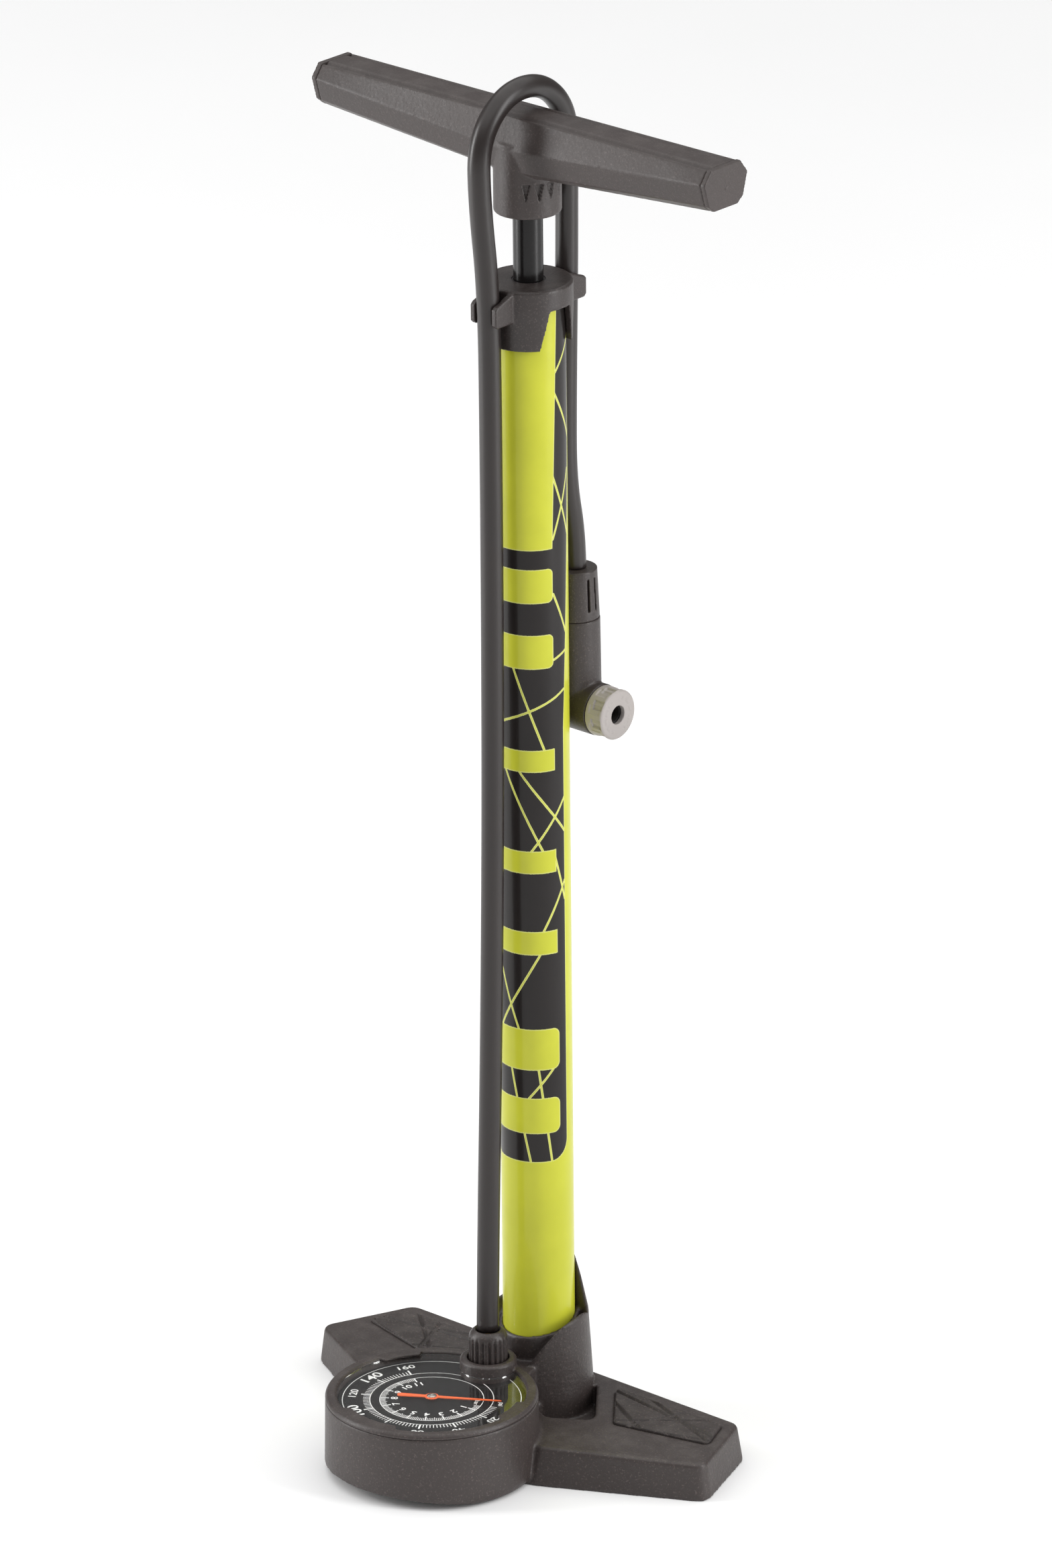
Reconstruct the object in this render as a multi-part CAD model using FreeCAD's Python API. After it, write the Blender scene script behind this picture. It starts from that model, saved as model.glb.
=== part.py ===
import FreeCAD, Part
import math
import os

# Floor bike pump, millimetres, +Z up.
# Origin: on the floor, on the axis of the pump barrel.
# X runs along the handle, -Y is the gauge side, and the user stands on the +Y side.

V = FreeCAD.Vector

# ---- barrel, rod and plunger --------------------------------------------------------------
BARREL_R = 19.0
BARREL_BORE_R = 17.5
BARREL_BOTTOM = 14.0
BARREL_TOP = 633.0
ROD_R = 7.75
ROD_WALL = 1.4
ROD_TOP = 711.0
ROD_BOTTOM = 56.3
RUN_GAP = 0.05            # radial clearance of every running fit

# ---- collar at the top of the barrel --------------------------------------------------------
COLLAR_R = 23.0
COLLAR_TOP = 636.5
COLLAR_LIP = 625.0        # underside of the closed ring, above the side windows
COLLAR_SKIRT = 604.0
WINDOW_HALF_DEG = 22.0
CLIP_Y = 29.5             # the hose sits this far from the axis in each clip
CLIP_NOSE_Y = 34.5
CLIP_Z = (619.5, 632.0)
CLIP_WALL = 3.0

# ---- base ------------------------------------------------------------------------------------
WING_H = 20.0
WING_TOP = [(0, 28), (115.5, 28), (136, -23.5), (56, -61.5), (0, -61.5)]
WING_BOTTOM = [(0, 30), (118, 30), (138.5, -24), (56, -68), (0, -68)]
WING_CORNERS = [0.0, 7.0, 7.0, 4.0, 0.0]
COLUMN_PROFILE = [(28.7, 0.0), (28.7, 20.0), (27.3, 44.0), (26.2, 62.0), (22.6, 79.0), (19.6, 91.0)]
NECK = [(-15, -15), (15, -15), (22, -38), (-22, -38)]
VALLEY = [(0.0, 23.9), (24.4, 63.0)]   # (x, z) of the opening toward the gauge: its bottom and its rim
VALLEY_TILT_DEG = 10.2    # the valley rises toward +Y
FIN_Y = 14.5              # behind this the column rises to its full height
SOCKET_R = 21.0           # ring left round the foot of the barrel
SOCKET_TOP = 58.5         # its height on the barrel's axis
SOCKET_TILT_DEG = 14.0
MOAT = [(20, 14), (27, 15), (51, -13), (53, -19), (33, -31.5), (20, -26)]
MOAT_FLOOR = 8.0
PAD = [(37, 18.5), (111, 19.5), (120.5, -2.5), (66, -15.5)]
PAD_RECESS = 1.6
PAD_PROUD = 1.6
SHELL_WALL = 3.0
WING_EDGE_R = 2.0

# ---- gauge ------------------------------------------------------------------------------------
GAUGE_Y = -84.0
DRUM_R = 55.8
DRUM_FOOT_R = 56.6
DRUM_TOP = 40.2
DRUM_CAVITY_R = 51.0
DRUM_FLOOR = 6.0
BEZEL_TOP = 43.2
BEZEL_OPENING_R = 49.6
DIAL_R = 49.0
DIAL_TOP = 37.6
DIAL_BOTTOM = 35.9
LENS_Z = (40.3, 41.8)
NEEDLE_Z = (38.7, 39.3)
NEEDLE_REST_DEG = 32.0
NEEDLE_TIP = 37.0
NEEDLE_TAIL = 18.2
GEAR_MODULE = 0.6
PINION_TEETH = 10
SECTOR_TEETH = 90         # of the full wheel that the sector is cut from
SECTOR_SIDE_DEG = 250.0   # direction of the sector's pivot, seen from the spindle
SECTOR_AXLE_R = 1.5
SPINDLE_R = 1.0

# ---- hose and its port --------------------------------------------------------------------
PORT_Y = -40.0
PORT_RING_R = 15.0
PORT_RING_TOP = 48.0
SPIGOT_R = 4.0
SPIGOT_BOTTOM = 6.5
PASSAGE_R = 1.8           # drilled air passages
NUT_R = 10.3
NUT_TOP = 64.0
HOSE_R = 5.9
# Centre line of the whole hose as (y, z), from the gland nut over the handle to the pump head.
HOSE_ROUTE = [
    (-40.0, 64.0), (-39.0, 110.0), (-35.6, 200.0), (-32.0, 320.0), (-30.2, 440.0), (-29.6, 560.0),
    (-30.0, 636.0), (-36.0, 685.0), (-36.5, 718.9), (-16.9, 738.9), (10.9, 738.9), (30.5, 718.9),
    (29.9, 685.0), (29.3, 636.0), (27.2, 560.0), (27.0, 520.0), (33.5, 487.0), (33.5, 470.0)]
LOOP_RUNS = (6, 12)       # the loop over the handle lies between the middles of these runs

# ---- pump head --------------------------------------------------------------------------------
HEAD_Y = 33.5
HEAD_R = 12.9
HEAD_TOP = 443.0
FERRULE_TOP = 470.0
VALVE_Z = 395.0
ELBOW_R = 13.7
CAP_R = 13.4
CAP_X = (17.6, 29.4)
VALVE_HOLE_R = 5.1
GASKET_BORE_R = 4.4       # the gasket squeezes the tyre valve, so it is tighter than the cap
VALVE_PIN_R = 0.9
VALVE_PIN_X = (11.9, 20.0)

# ---- handle -----------------------------------------------------------------------------------
HANDLE_TOP = 726.2
HANDLE_HALF = 134.0
END_CAP_LENGTH = 3.0
# Half of a cross-section as (y, z) at the middle and at the end, from the top edge down.
HANDLE_MIDDLE = [(11.0, 726.2), (17.2, 709.4), (15.0, 697.5), (9.5, 694.0)]
HANDLE_END = [(11.0, 726.2), (16.4, 719.2), (13.0, 707.2), (8.5, 703.6)]
HUB_R = 17.5
HUB_BOTTOM = 673.0
HANDLE_WALL = 2.6


# ---- small helpers ------------------------------------------------------------------------------
def save(name, shape):
    """Write one sub-part to parts/NAME.step."""
    if len(shape.Solids) == 1:
        shape = shape.Solids[0]
    shape.exportStep("parts/" + name + ".step")
    print("%-22s solids %d  valid %s  volume %.1f" % (name, len(shape.Solids), shape.isValid(), shape.Volume))


def cylinder(radius, z0, z1, x=0.0, y=0.0):
    return Part.makeCylinder(radius, z1 - z0, V(x, y, z0))


def tube(r_out, r_in, z0, z1, x=0.0, y=0.0):
    return cylinder(r_out, z0, z1, x, y).cut(cylinder(r_in, z0 - 1, z1 + 1, x, y))


def along_x(radius, x0, x1, y, z):
    return Part.makeCylinder(radius, x1 - x0, V(x0, y, z), V(1, 0, 0))


def along_y(radius, y0, y1, x, z):
    return Part.makeCylinder(radius, y1 - y0, V(x, y0, z), V(0, 1, 0))


def box(x0, x1, y0, y1, z0, z1):
    return Part.makeBox(x1 - x0, y1 - y0, z1 - z0, V(x0, y0, z0))


def turned(profile, x=0.0, y=0.0):
    """Solid of revolution about Z from (radius, z) points."""
    wire = Part.makePolygon([V(r, 0, z) for r, z in profile + profile[:1]])
    solid = Part.Face(wire).revolve(V(0, 0, 0), V(0, 0, 1), 360)
    solid.translate(V(x, y, 0))
    return solid


def rounded_wire(points, radii, z):
    """Closed outline at height z, each corner rounded by its own radius."""
    edges, count = [], len(points)
    starts, ends = [], []
    for i, (x, y) in enumerate(points):
        here = V(x, y, z)
        back = V(*points[i - 1], z).sub(here).normalize()
        ahead = V(*points[(i + 1) % count], z).sub(here).normalize()
        if radii[i] <= 0:
            starts.append(here)
            ends.append(here)
            continue
        half = back.getAngle(ahead) / 2
        cut = radii[i] / math.tan(half)
        start, end = here + back * cut, here + ahead * cut
        bisector = (back + ahead).normalize()
        centre = here + bisector * (radii[i] / math.sin(half))
        edges.append((i, Part.Arc(start, centre - bisector * radii[i], end).toShape()))
        starts.append(start)
        ends.append(end)
    arcs = dict(edges)
    outline = []
    for i in range(count):
        if i in arcs:
            outline.append(arcs[i])
        outline.append(Part.makeLine(ends[i], starts[(i + 1) % count]))
    return Part.Wire(outline)


def prism(points, z0, z1, radius=0.0):
    wire = rounded_wire(points, [radius] * len(points), z0)
    return Part.Face(wire).extrude(V(0, 0, z1 - z0))


def mirrored(shape):
    return shape.mirror(V(0, 0, 0), V(1, 0, 0))


def polar(radius, degrees, x=0.0, y=0.0):
    return (x + radius * math.cos(math.radians(degrees)), y + radius * math.sin(math.radians(degrees)))


# ---- hose ---------------------------------------------------------------------------------------
def route_point(i):
    return V(0, *HOSE_ROUTE[i])


def arc_radius(i):
    """Radius of the tangent arc at route point i: as large as its two runs allow."""
    back = route_point(i - 1) - route_point(i)
    ahead = route_point(i + 1) - route_point(i)
    turn = math.pi - back.getAngle(ahead)
    return 0.45 * min(back.Length, ahead.Length) / math.tan(turn / 2)


def arc_at(i):
    """Start, middle and end of the tangent arc at route point i."""
    here = route_point(i)
    back = (route_point(i - 1) - here)
    ahead = (route_point(i + 1) - here)
    cut = 0.45 * min(back.Length, ahead.Length)
    back.normalize()
    ahead.normalize()
    bisector = (back + ahead).normalize()
    reach = math.sqrt(arc_radius(i) ** 2 + cut ** 2)
    return here + back * cut, here + bisector * (reach - arc_radius(i)), here + ahead * cut


def hose_piece(start, first, last, end):
    """Tube from start to end that takes the tangent arcs at route points first..last."""
    edges, here = [], start
    for i in range(first, last + 1):
        a, middle, b = arc_at(i)
        edges.append(Part.makeLine(here, a))
        edges.append(Part.Arc(a, middle, b).toShape())
        here = b
    edges.append(Part.makeLine(here, end))
    path = Part.Wire(edges)
    section = Part.Wire(Part.makeCircle(HOSE_R, start, edges[0].tangentAt(edges[0].FirstParameter)))
    solid = path.makePipeShell([section], True, False)
    print("hose piece: length %.1f, volume / (section x length) = %.4f"
          % (path.Length, solid.Volume / (math.pi * HOSE_R ** 2 * path.Length)))
    return solid


def make_hose():
    count = len(HOSE_ROUTE)
    print("hose arc radii:", ["%.1f" % arc_radius(i) for i in range(1, count - 1)])
    front_run, rear_run = LOOP_RUNS
    front_split = (route_point(front_run) + route_point(front_run + 1)) * 0.5
    rear_split = (route_point(rear_run) + route_point(rear_run + 1)) * 0.5
    print("hose splits at z", front_split.z, rear_split.z)
    save("hose_front_run", hose_piece(route_point(0), 1, front_run, front_split))
    save("hose_loop", hose_piece(front_split, front_run + 1, rear_run, rear_split))
    save("hose_rear_run", hose_piece(rear_split, rear_run + 1, count - 2, route_point(count - 1)))


# ---- base ---------------------------------------------------------------------------------------
def wing():
    """The +X half of the standing plate, drafted from the floor up."""
    bottom = rounded_wire(WING_BOTTOM, WING_CORNERS, 0.0)
    top = rounded_wire(WING_TOP, WING_CORNERS, WING_H)
    half = Part.makeLoft([bottom, top], True, True)
    rim = [e for e in half.Edges if e.BoundBox.ZMin > WING_H - 0.01 and e.BoundBox.XMax > 0.01]
    rim = [e for e in rim if e.BoundBox.YMin > WING_TOP[-1][1] + 0.01 or e.BoundBox.YLength > 1]
    return half.makeFillet(WING_EDGE_R, rim)


def tilted(shape, degrees, height):
    """Shape turned about the X direction at a height on the barrel's axis, rising toward +Y."""
    shape.rotate(V(0, 0, height), V(1, 0, 0), degrees)
    return shape


def column():
    """Sleeve round the foot of the barrel: open toward the gauge, with a fin behind the barrel."""
    top = COLUMN_PROFILE[-1][1]
    sleeve = turned([(0, 0.0)] + COLUMN_PROFILE + [(0, top)])
    (bottom_x, bottom_z), (rim_x, rim_z) = VALLEY
    reach, ceiling = 60.0, top + 60.0
    outline = [(bottom_x, bottom_z), (rim_x, rim_z), (reach, rim_z), (reach, ceiling),
               (-reach, ceiling), (-reach, rim_z), (-rim_x, rim_z), (bottom_x, bottom_z)]
    valley = Part.Face(Part.makePolygon([V(x, -reach, z) for x, z in outline])).extrude(V(0, 2 * reach, 0))
    valley = tilted(valley, VALLEY_TILT_DEG, rim_z).cut(cylinder(SOCKET_R, 0, ceiling + 30))
    lid = tilted(box(-reach, reach, -reach, reach, SOCKET_TOP, ceiling), SOCKET_TILT_DEG, SOCKET_TOP)
    lid = lid.common(cylinder(SOCKET_R, 0, ceiling + 30))
    in_front = box(-reach, reach, -reach, FIN_Y, 0, ceiling)
    sleeve = sleeve.cut(valley.common(in_front)).cut(lid.common(in_front))
    return sleeve.fuse(prism(NECK, 0.0, DRUM_TOP))


def drum():
    cone = Part.makeCone(DRUM_FOOT_R, DRUM_R, DRUM_TOP, V(0, GAUGE_Y, 0))
    foot = [e for e in cone.Edges if e.BoundBox.ZMax < 0.1 and len(e.Vertexes) <= 2 and e.Length > 100]
    cone = cone.makeFillet(5.0, foot)
    front = GAUGE_Y - DRUM_FOOT_R - 2
    ramp = Part.Face(Part.makePolygon([V(-80, GAUGE_Y - 14, -0.01), V(-80, front, -0.01),
                                       V(-80, front, 7.0), V(-80, GAUGE_Y - 14, -0.01)]))
    return cone.cut(ramp.extrude(V(160, 0, 0)))


def wing_pocket():
    """Hollow under the +X wing."""
    outline = [(58, 22), (110, 22), (128, -20), (66, -50)]
    return prism(outline, -1.0, WING_H - PAD_RECESS - SHELL_WALL, 5.0)


def air_passages():
    """Drillings from under the check valve to the hose port and on to the gauge."""
    valve = cylinder(5.0, 5.0, BARREL_BOTTOM + 1)
    riser = cylinder(SPIGOT_R, SPIGOT_BOTTOM, 35.0, 0, PORT_Y)
    to_valve = along_y(PASSAGE_R, PORT_Y + 0.7, -2.0, 0, 10.0)
    to_gauge = along_y(PASSAGE_R, PORT_Y - 20, PORT_Y - 0.7, 0, 20.0)
    return [valve, riser, to_valve, to_gauge]


def dial_posts():
    """Four posts against the drum's wall that carry the dial."""
    places = [polar(DRUM_CAVITY_R - 2.5, degrees, 0, GAUGE_Y) for degrees in (45, 135, 225, 315)]
    return [cylinder(4.0, DRUM_FLOOR - 1, DIAL_BOTTOM, x, y) for x, y in places]


def make_base():
    half = wing()
    body = half.fuse(mirrored(half)).fuse(drum()).fuse(column())
    cavity = cylinder(DRUM_CAVITY_R, DRUM_FLOOR, DRUM_TOP + 40, 0, GAUGE_Y)
    port_boss = cylinder(PORT_RING_R - 1.0, DRUM_FLOOR, 34.0, 0, PORT_Y)
    body = body.cut(cavity.cut(port_boss))
    moat = prism(MOAT, MOAT_FLOOR, DRUM_TOP + 1, 4.0)
    moat = moat.cut(cylinder(COLUMN_PROFILE[1][0], 0, 60)).cut(cylinder(DRUM_R, 0, 60, 0, GAUGE_Y))
    recess = prism(PAD, WING_H - PAD_RECESS, WING_H + 5, 3.0)
    for tool in (moat, recess, wing_pocket()):
        body = body.cut(tool).cut(mirrored(tool))
    body = body.cut(cylinder(BARREL_R, BARREL_BOTTOM, 120))
    body = body.cut(cylinder(PORT_RING_R + 0.1, DRUM_TOP, DRUM_TOP + 20, 0, PORT_Y))
    for passage in air_passages():
        body = body.cut(passage)
    for post in dial_posts():
        body = body.fuse(post)
    save("base_body", body.removeSplitter())


def make_pads():
    """Rubber grips set into the wings, with a chamfered rim and a groove across the middle."""
    pad = prism(PAD, WING_H - PAD_RECESS, WING_H + PAD_PROUD, 3.0)
    rim = [e for e in pad.Edges if e.BoundBox.ZMin > WING_H + PAD_PROUD - 0.01]
    pad = pad.makeChamfer(0.8, rim)
    groove = Part.makeBox(2.2, 60, 2.0, V(-1.1, -30, 0))
    groove.rotate(V(0, 0, 0), V(0, 0, 1), -22)
    groove.translate(V(81, 3, WING_H + PAD_PROUD - 1.0))
    pad = pad.cut(groove)
    save("foot_pad_right", pad)
    save("foot_pad_left", mirrored(pad))


# ---- barrel and collar --------------------------------------------------------------------------
def make_barrel():
    save("barrel", tube(BARREL_R, BARREL_BORE_R, BARREL_BOTTOM, BARREL_TOP))


def window_wedge(side):
    """Volume that opens the collar's skirt on one side, wider toward the bottom."""
    reach, flare = 40.0, 5.0
    half = reach * math.tan(math.radians(WINDOW_HALF_DEG))
    low, high = COLLAR_SKIRT - 2, COLLAR_LIP
    face = Part.Face(Part.makePolygon([V(0, -half * 0.45 - flare, low), V(0, half * 0.45 + flare, low),
                                       V(0, half * 0.45, high), V(0, -half * 0.45, high),
                                       V(0, -half * 0.45 - flare, low)]))
    return face.extrude(V(side * reach, 0, 0))


def clip(side):
    """Two prongs that hold the hose, standing out toward side * Y."""
    low, high = CLIP_Z
    inner = HOSE_R + 0.05
    shape = None
    for sign in (-1, 1):
        profile = [(10, low), (CLIP_NOSE_Y - 1.5, low), (CLIP_NOSE_Y, low + 1.5),
                   (CLIP_NOSE_Y, high - 2.5), (CLIP_NOSE_Y - 1.5, high - 1), (20, COLLAR_TOP - 0.6),
                   (10, COLLAR_TOP - 0.6)]
        face = Part.Face(Part.makePolygon([V(sign * inner, side * y, z) for y, z in profile + profile[:1]]))
        prong = face.extrude(V(sign * CLIP_WALL, 0, 0))
        shape = prong if shape is None else shape.fuse(prong)
    return shape


def make_collar():
    outer = turned([(0, COLLAR_SKIRT), (COLLAR_R - 0.8, COLLAR_SKIRT), (COLLAR_R, COLLAR_LIP),
                    (COLLAR_R, COLLAR_TOP - 1.0), (COLLAR_R - 1.0, COLLAR_TOP), (0, COLLAR_TOP)])
    outer = outer.cut(window_wedge(1)).cut(window_wedge(-1))
    outer = outer.fuse(clip(-1)).fuse(clip(1))
    for side in (-1, 1):
        outer = outer.cut(cylinder(HOSE_R + 0.3, COLLAR_SKIRT - 5, COLLAR_TOP + 5, 0, side * CLIP_Y))
    outer = outer.cut(cylinder(BARREL_R, COLLAR_SKIRT - 5, BARREL_TOP))
    bore = cylinder(8.4, BARREL_TOP - 1, COLLAR_TOP + 1)
    save("barrel_collar", outer.cut(bore))
    bush = tube(11.0, ROD_R + RUN_GAP, 621.0, BARREL_TOP)
    flange = tube(BARREL_BORE_R, ROD_R + RUN_GAP, 627.0, 631.0)
    save("rod_guide_bush", bush.fuse(flange))
    save("rod_wiper", tube(8.4, ROD_R + RUN_GAP, BARREL_TOP, COLLAR_TOP - 0.5))
    save("top_bumper", tube(16.5, 8.4, 614.0, 621.0))


# ---- check valve at the foot of the barrel ------------------------------------------------------
VALVE_TOP = 34.0


def make_check_valve():
    body = cylinder(BARREL_BORE_R, BARREL_BOTTOM, VALVE_TOP)
    groove = tube(BARREL_BORE_R + 1, BARREL_BORE_R - 2.0, 22.0, 24.6)
    chamber = cylinder(7.0, 17.0, 28.0)
    inlet = cylinder(3.0, 27.0, VALVE_TOP + 1)
    outlet = cylinder(2.0, BARREL_BOTTOM - 1, 18.0)
    save("valve_body", body.cut(groove).cut(chamber).cut(inlet).cut(outlet))
    save("valve_o_ring", tube(BARREL_BORE_R, BARREL_BORE_R - 2.0, 22.0, 24.6))
    poppet = cylinder(5.2, 26.0, 27.7).fuse(cylinder(1.4, 21.0, 26.1))
    save("valve_poppet", poppet)
    coil = None
    for turn in range(6):
        ring = Part.makeTorus(3.0, 0.45, V(0, 0, 17.6 + 1.5 * turn))
        coil = ring if coil is None else coil.fuse(ring)
    for degrees in (0, 180):
        x, y = polar(3.0, degrees)
        coil = coil.fuse(cylinder(0.35, 17.5, 25.3, x, y))
    save("valve_spring", coil)


# ---- gauge ---------------------------------------------------------------------------------------
def gauge_disc(radius, z0, z1):
    return cylinder(radius, z0, z1, 0, GAUGE_Y)


def make_bezel():
    ring = turned([(BEZEL_OPENING_R, DRUM_TOP), (DRUM_R, DRUM_TOP), (DRUM_R, BEZEL_TOP - 1.6),
                   (DRUM_R - 1.2, BEZEL_TOP), (BEZEL_OPENING_R + 1.0, BEZEL_TOP),
                   (BEZEL_OPENING_R, BEZEL_TOP - 1.0)], 0, GAUGE_Y)
    skirt = turned([(BEZEL_OPENING_R, 36.0), (DRUM_CAVITY_R - 0.05, 36.0),
                    (DRUM_CAVITY_R - 0.05, DRUM_TOP + 0.5), (BEZEL_OPENING_R, DRUM_TOP + 0.5)], 0, GAUGE_Y)
    shape = ring.fuse(skirt)
    for middle, half in ((-92, 24), (152, 15), (12, 15)):
        outer = [polar(DRUM_R - 2, middle + part * half, 0, GAUGE_Y) for part in (-1, -0.5, 0, 0.5, 1)]
        inner = [polar(BEZEL_OPENING_R - 3, middle - part * (half - 3), 0, GAUGE_Y)
                 for part in (-1, -0.5, 0, 0.5, 1)]
        shape = shape.fuse(prism(outer + inner, LENS_Z[1], BEZEL_TOP))
    port = cylinder(PORT_RING_R, 34.2, PORT_RING_TOP, 0, PORT_Y)
    rim = [e for e in port.Edges if e.BoundBox.ZMin > PORT_RING_TOP - 0.01]
    port = port.makeChamfer(1.2, rim).cut(cylinder(11.0, 44.0, PORT_RING_TOP + 1, 0, PORT_Y))
    port = port.cut(cylinder(6.5, 30.0, 50.0, 0, PORT_Y))
    wall = gauge_disc(DRUM_R + 20, 30.0, DRUM_TOP).cut(gauge_disc(DRUM_CAVITY_R - 0.05, 0, 60))
    save("gauge_bezel", shape.cut(cylinder(PORT_RING_R - 1, 30, 60, 0, PORT_Y)).fuse(port.cut(wall)))


def make_lens_and_dial():
    clear_port = cylinder(PORT_RING_R + 0.05, 30, 60, 0, PORT_Y)
    save("gauge_lens", gauge_disc(BEZEL_OPENING_R - 0.05, *LENS_Z).cut(clear_port))
    hole = gauge_disc(2.2, 30, 60)
    dial = gauge_disc(DIAL_R, DIAL_BOTTOM, DIAL_TOP).cut(clear_port).cut(hole)
    save("gauge_dial", dial)


def gear_outline(teeth, first, last, pitch_r, offset_deg):
    """Points of straight-flanked teeth first..last of a wheel, counter-clockwise."""
    step = 360.0 / teeth
    root_r, tip_r = pitch_r - 1.0 * GEAR_MODULE, pitch_r + 0.7 * GEAR_MODULE
    root_half, tip_half = 0.21 * step, 0.10 * step
    points = []
    for i in range(first, last):
        middle = offset_deg + i * step
        points += [polar(root_r, middle - root_half), polar(tip_r, middle - tip_half),
                   polar(tip_r, middle + tip_half), polar(root_r, middle + root_half)]
    return points


def gear_slab(points, thickness):
    wire = Part.makePolygon([V(x, y, 0) for x, y in points + points[:1]])
    return Part.Face(wire).extrude(V(0, 0, thickness))


def sector_centre():
    """The sector's pivot, one centre distance from the needle's spindle."""
    distance = GEAR_MODULE * (PINION_TEETH + SECTOR_TEETH) / 2 + 0.05
    return polar(distance, SECTOR_SIDE_DEG, 0, GAUGE_Y)


def make_movement_plate():
    sx, sy = sector_centre()
    plate = gauge_disc(20.0, 12.0, 14.0).fuse(cylinder(6.0, 12.0, 14.0, sx, sy))
    arm = box(15, 30, -6, 6, 12.0, 14.0)
    arm.rotate(V(0, 0, 0), V(0, 0, 1), SECTOR_SIDE_DEG)
    arm.translate(V(0, GAUGE_Y, 0))
    plate = plate.fuse(arm).fuse(box(-6, 6, -68, -60, 12.0, 14.0)).cut(pressure_block())
    screws = None
    for degrees in (40, 160, 330):
        x, y = polar(16.0, degrees, 0, GAUGE_Y)
        plate = plate.fuse(cylinder(2.5, DRUM_FLOOR, 13.0, x, y)).cut(cylinder(0.9, 8.0, 15.0, x, y))
        screw = cylinder(0.9, 8.0, 14.1, x, y).fuse(cylinder(2.0, 14.0, 15.2, x, y))
        screws = screw if screws is None else screws.fuse(screw)
    plate = plate.fuse(cylinder(SECTOR_AXLE_R, DRUM_FLOOR, 22.0, sx, sy))
    save("movement_plate", plate.cut(gauge_disc(SPINDLE_R + RUN_GAP, 10.0, 16.0)))
    save("movement_screws", screws)


def pressure_block():
    return box(-7, 7, -66, -56, 8.0, 26.0).cut(along_y(PASSAGE_R, -64, -50, 0, 20.0))


def make_bourdon_tube():
    """Flattened tube bent round the movement, open to the pressure block at one end."""
    r_in, r_out, low, high, start, sweep = 37.0, 41.0, 18.0, 25.0, 128.0, 215.0
    corners = [V(r_in, 0, low), V(r_out, 0, low), V(r_out, 0, high), V(r_in, 0, high), V(r_in, 0, low)]
    coil = Part.Face(Part.makePolygon(corners)).revolve(V(0, 0, 0), V(0, 0, 1), sweep)
    coil.rotate(V(0, 0, 0), V(0, 0, 1), start)
    coil.translate(V(0, GAUGE_Y, 0))
    save("bourdon_tube", coil.fuse(box(-26, -7, -57, -54.2, low, high)))


def make_sector():
    """Toothed sector in mesh with the spindle's pinion; a tooth points at the spindle at rest."""
    sx, sy = sector_centre()
    pitch_r = GEAR_MODULE * SECTOR_TEETH / 2
    outline = gear_outline(SECTOR_TEETH, -9, 3, pitch_r, SECTOR_SIDE_DEG - 180.0)
    wheel = gear_slab([(0.0, 0.0)] + outline, 2.0).fuse(cylinder(4.0, 0, 2.0))
    wheel = wheel.cut(cylinder(SECTOR_AXLE_R + RUN_GAP, -1, 3))
    wheel.translate(V(sx, sy, 16.0))
    save("sector_gear", wheel)


def make_spindle():
    """Needle spindle with its pinion; a gap between teeth faces the sector at rest."""
    pitch_r = GEAR_MODULE * PINION_TEETH / 2
    half_step = 180.0 / PINION_TEETH
    outline = gear_outline(PINION_TEETH, 0, PINION_TEETH, pitch_r, SECTOR_SIDE_DEG + half_step)
    pinion = gear_slab(outline, 3.0)
    pinion.translate(V(0, 0, 15.5))
    spindle = cylinder(SPINDLE_R, 10.5, NEEDLE_Z[1]).fuse(pinion)
    spindle.translate(V(0, GAUGE_Y, 0))
    save("needle_spindle", spindle)


def make_needle():
    low, high = NEEDLE_Z
    side = [(-NEEDLE_TAIL, 1.5), (-NEEDLE_TAIL + 1.5, 1.9), (0.0, 1.2), (NEEDLE_TIP, 0.3)]
    outline = side + [(x, -y) for x, y in reversed(side)]
    blade = prism(outline, 0.0, high - low).fuse(cylinder(3.6, 0, high - low))
    blade = blade.cut(cylinder(SPINDLE_R, -1, 2))
    blade.rotate(V(0, 0, 0), V(0, 0, 1), NEEDLE_REST_DEG)
    blade.translate(V(0, GAUGE_Y, low))
    save("gauge_needle", blade)
    save("needle_cap", gauge_disc(2.6, high, LENS_Z[0] - 0.3))


# ---- hose port -----------------------------------------------------------------------------------
def make_port():
    """Threaded spigot with a barb, and the ribbed nut that clamps the hose on it."""
    spigot = cylinder(6.5, 34.0, 44.0, 0, PORT_Y).fuse(cylinder(SPIGOT_R, SPIGOT_BOTTOM, 35.0, 0, PORT_Y))
    barb = turned([(0, 43.0), (4.2, 43.0), (3.2, 50.0), (4.2, 50.5), (3.2, 57.0), (2.6, 60.0), (0, 60.0)],
                  0, PORT_Y)
    spigot = spigot.fuse(barb).cut(cylinder(1.4, SPIGOT_BOTTOM + 1, 62.0, 0, PORT_Y))
    for passage in air_passages()[2:]:
        spigot = spigot.cut(passage)
    save("hose_spigot", spigot)
    nut = turned([(4.4, 44.0), (NUT_R, 44.0), (NUT_R, 59.0), (NUT_R - 2.6, NUT_TOP), (4.4, NUT_TOP)],
                 0, PORT_Y)
    ribs = 20
    for i in range(ribs):
        x, y = polar(NUT_R + 0.35, i * 360.0 / ribs, 0, PORT_Y)
        nut = nut.cut(cylinder(0.8, 47.0, 60.5, x, y))
    save("hose_nut", nut)


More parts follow.
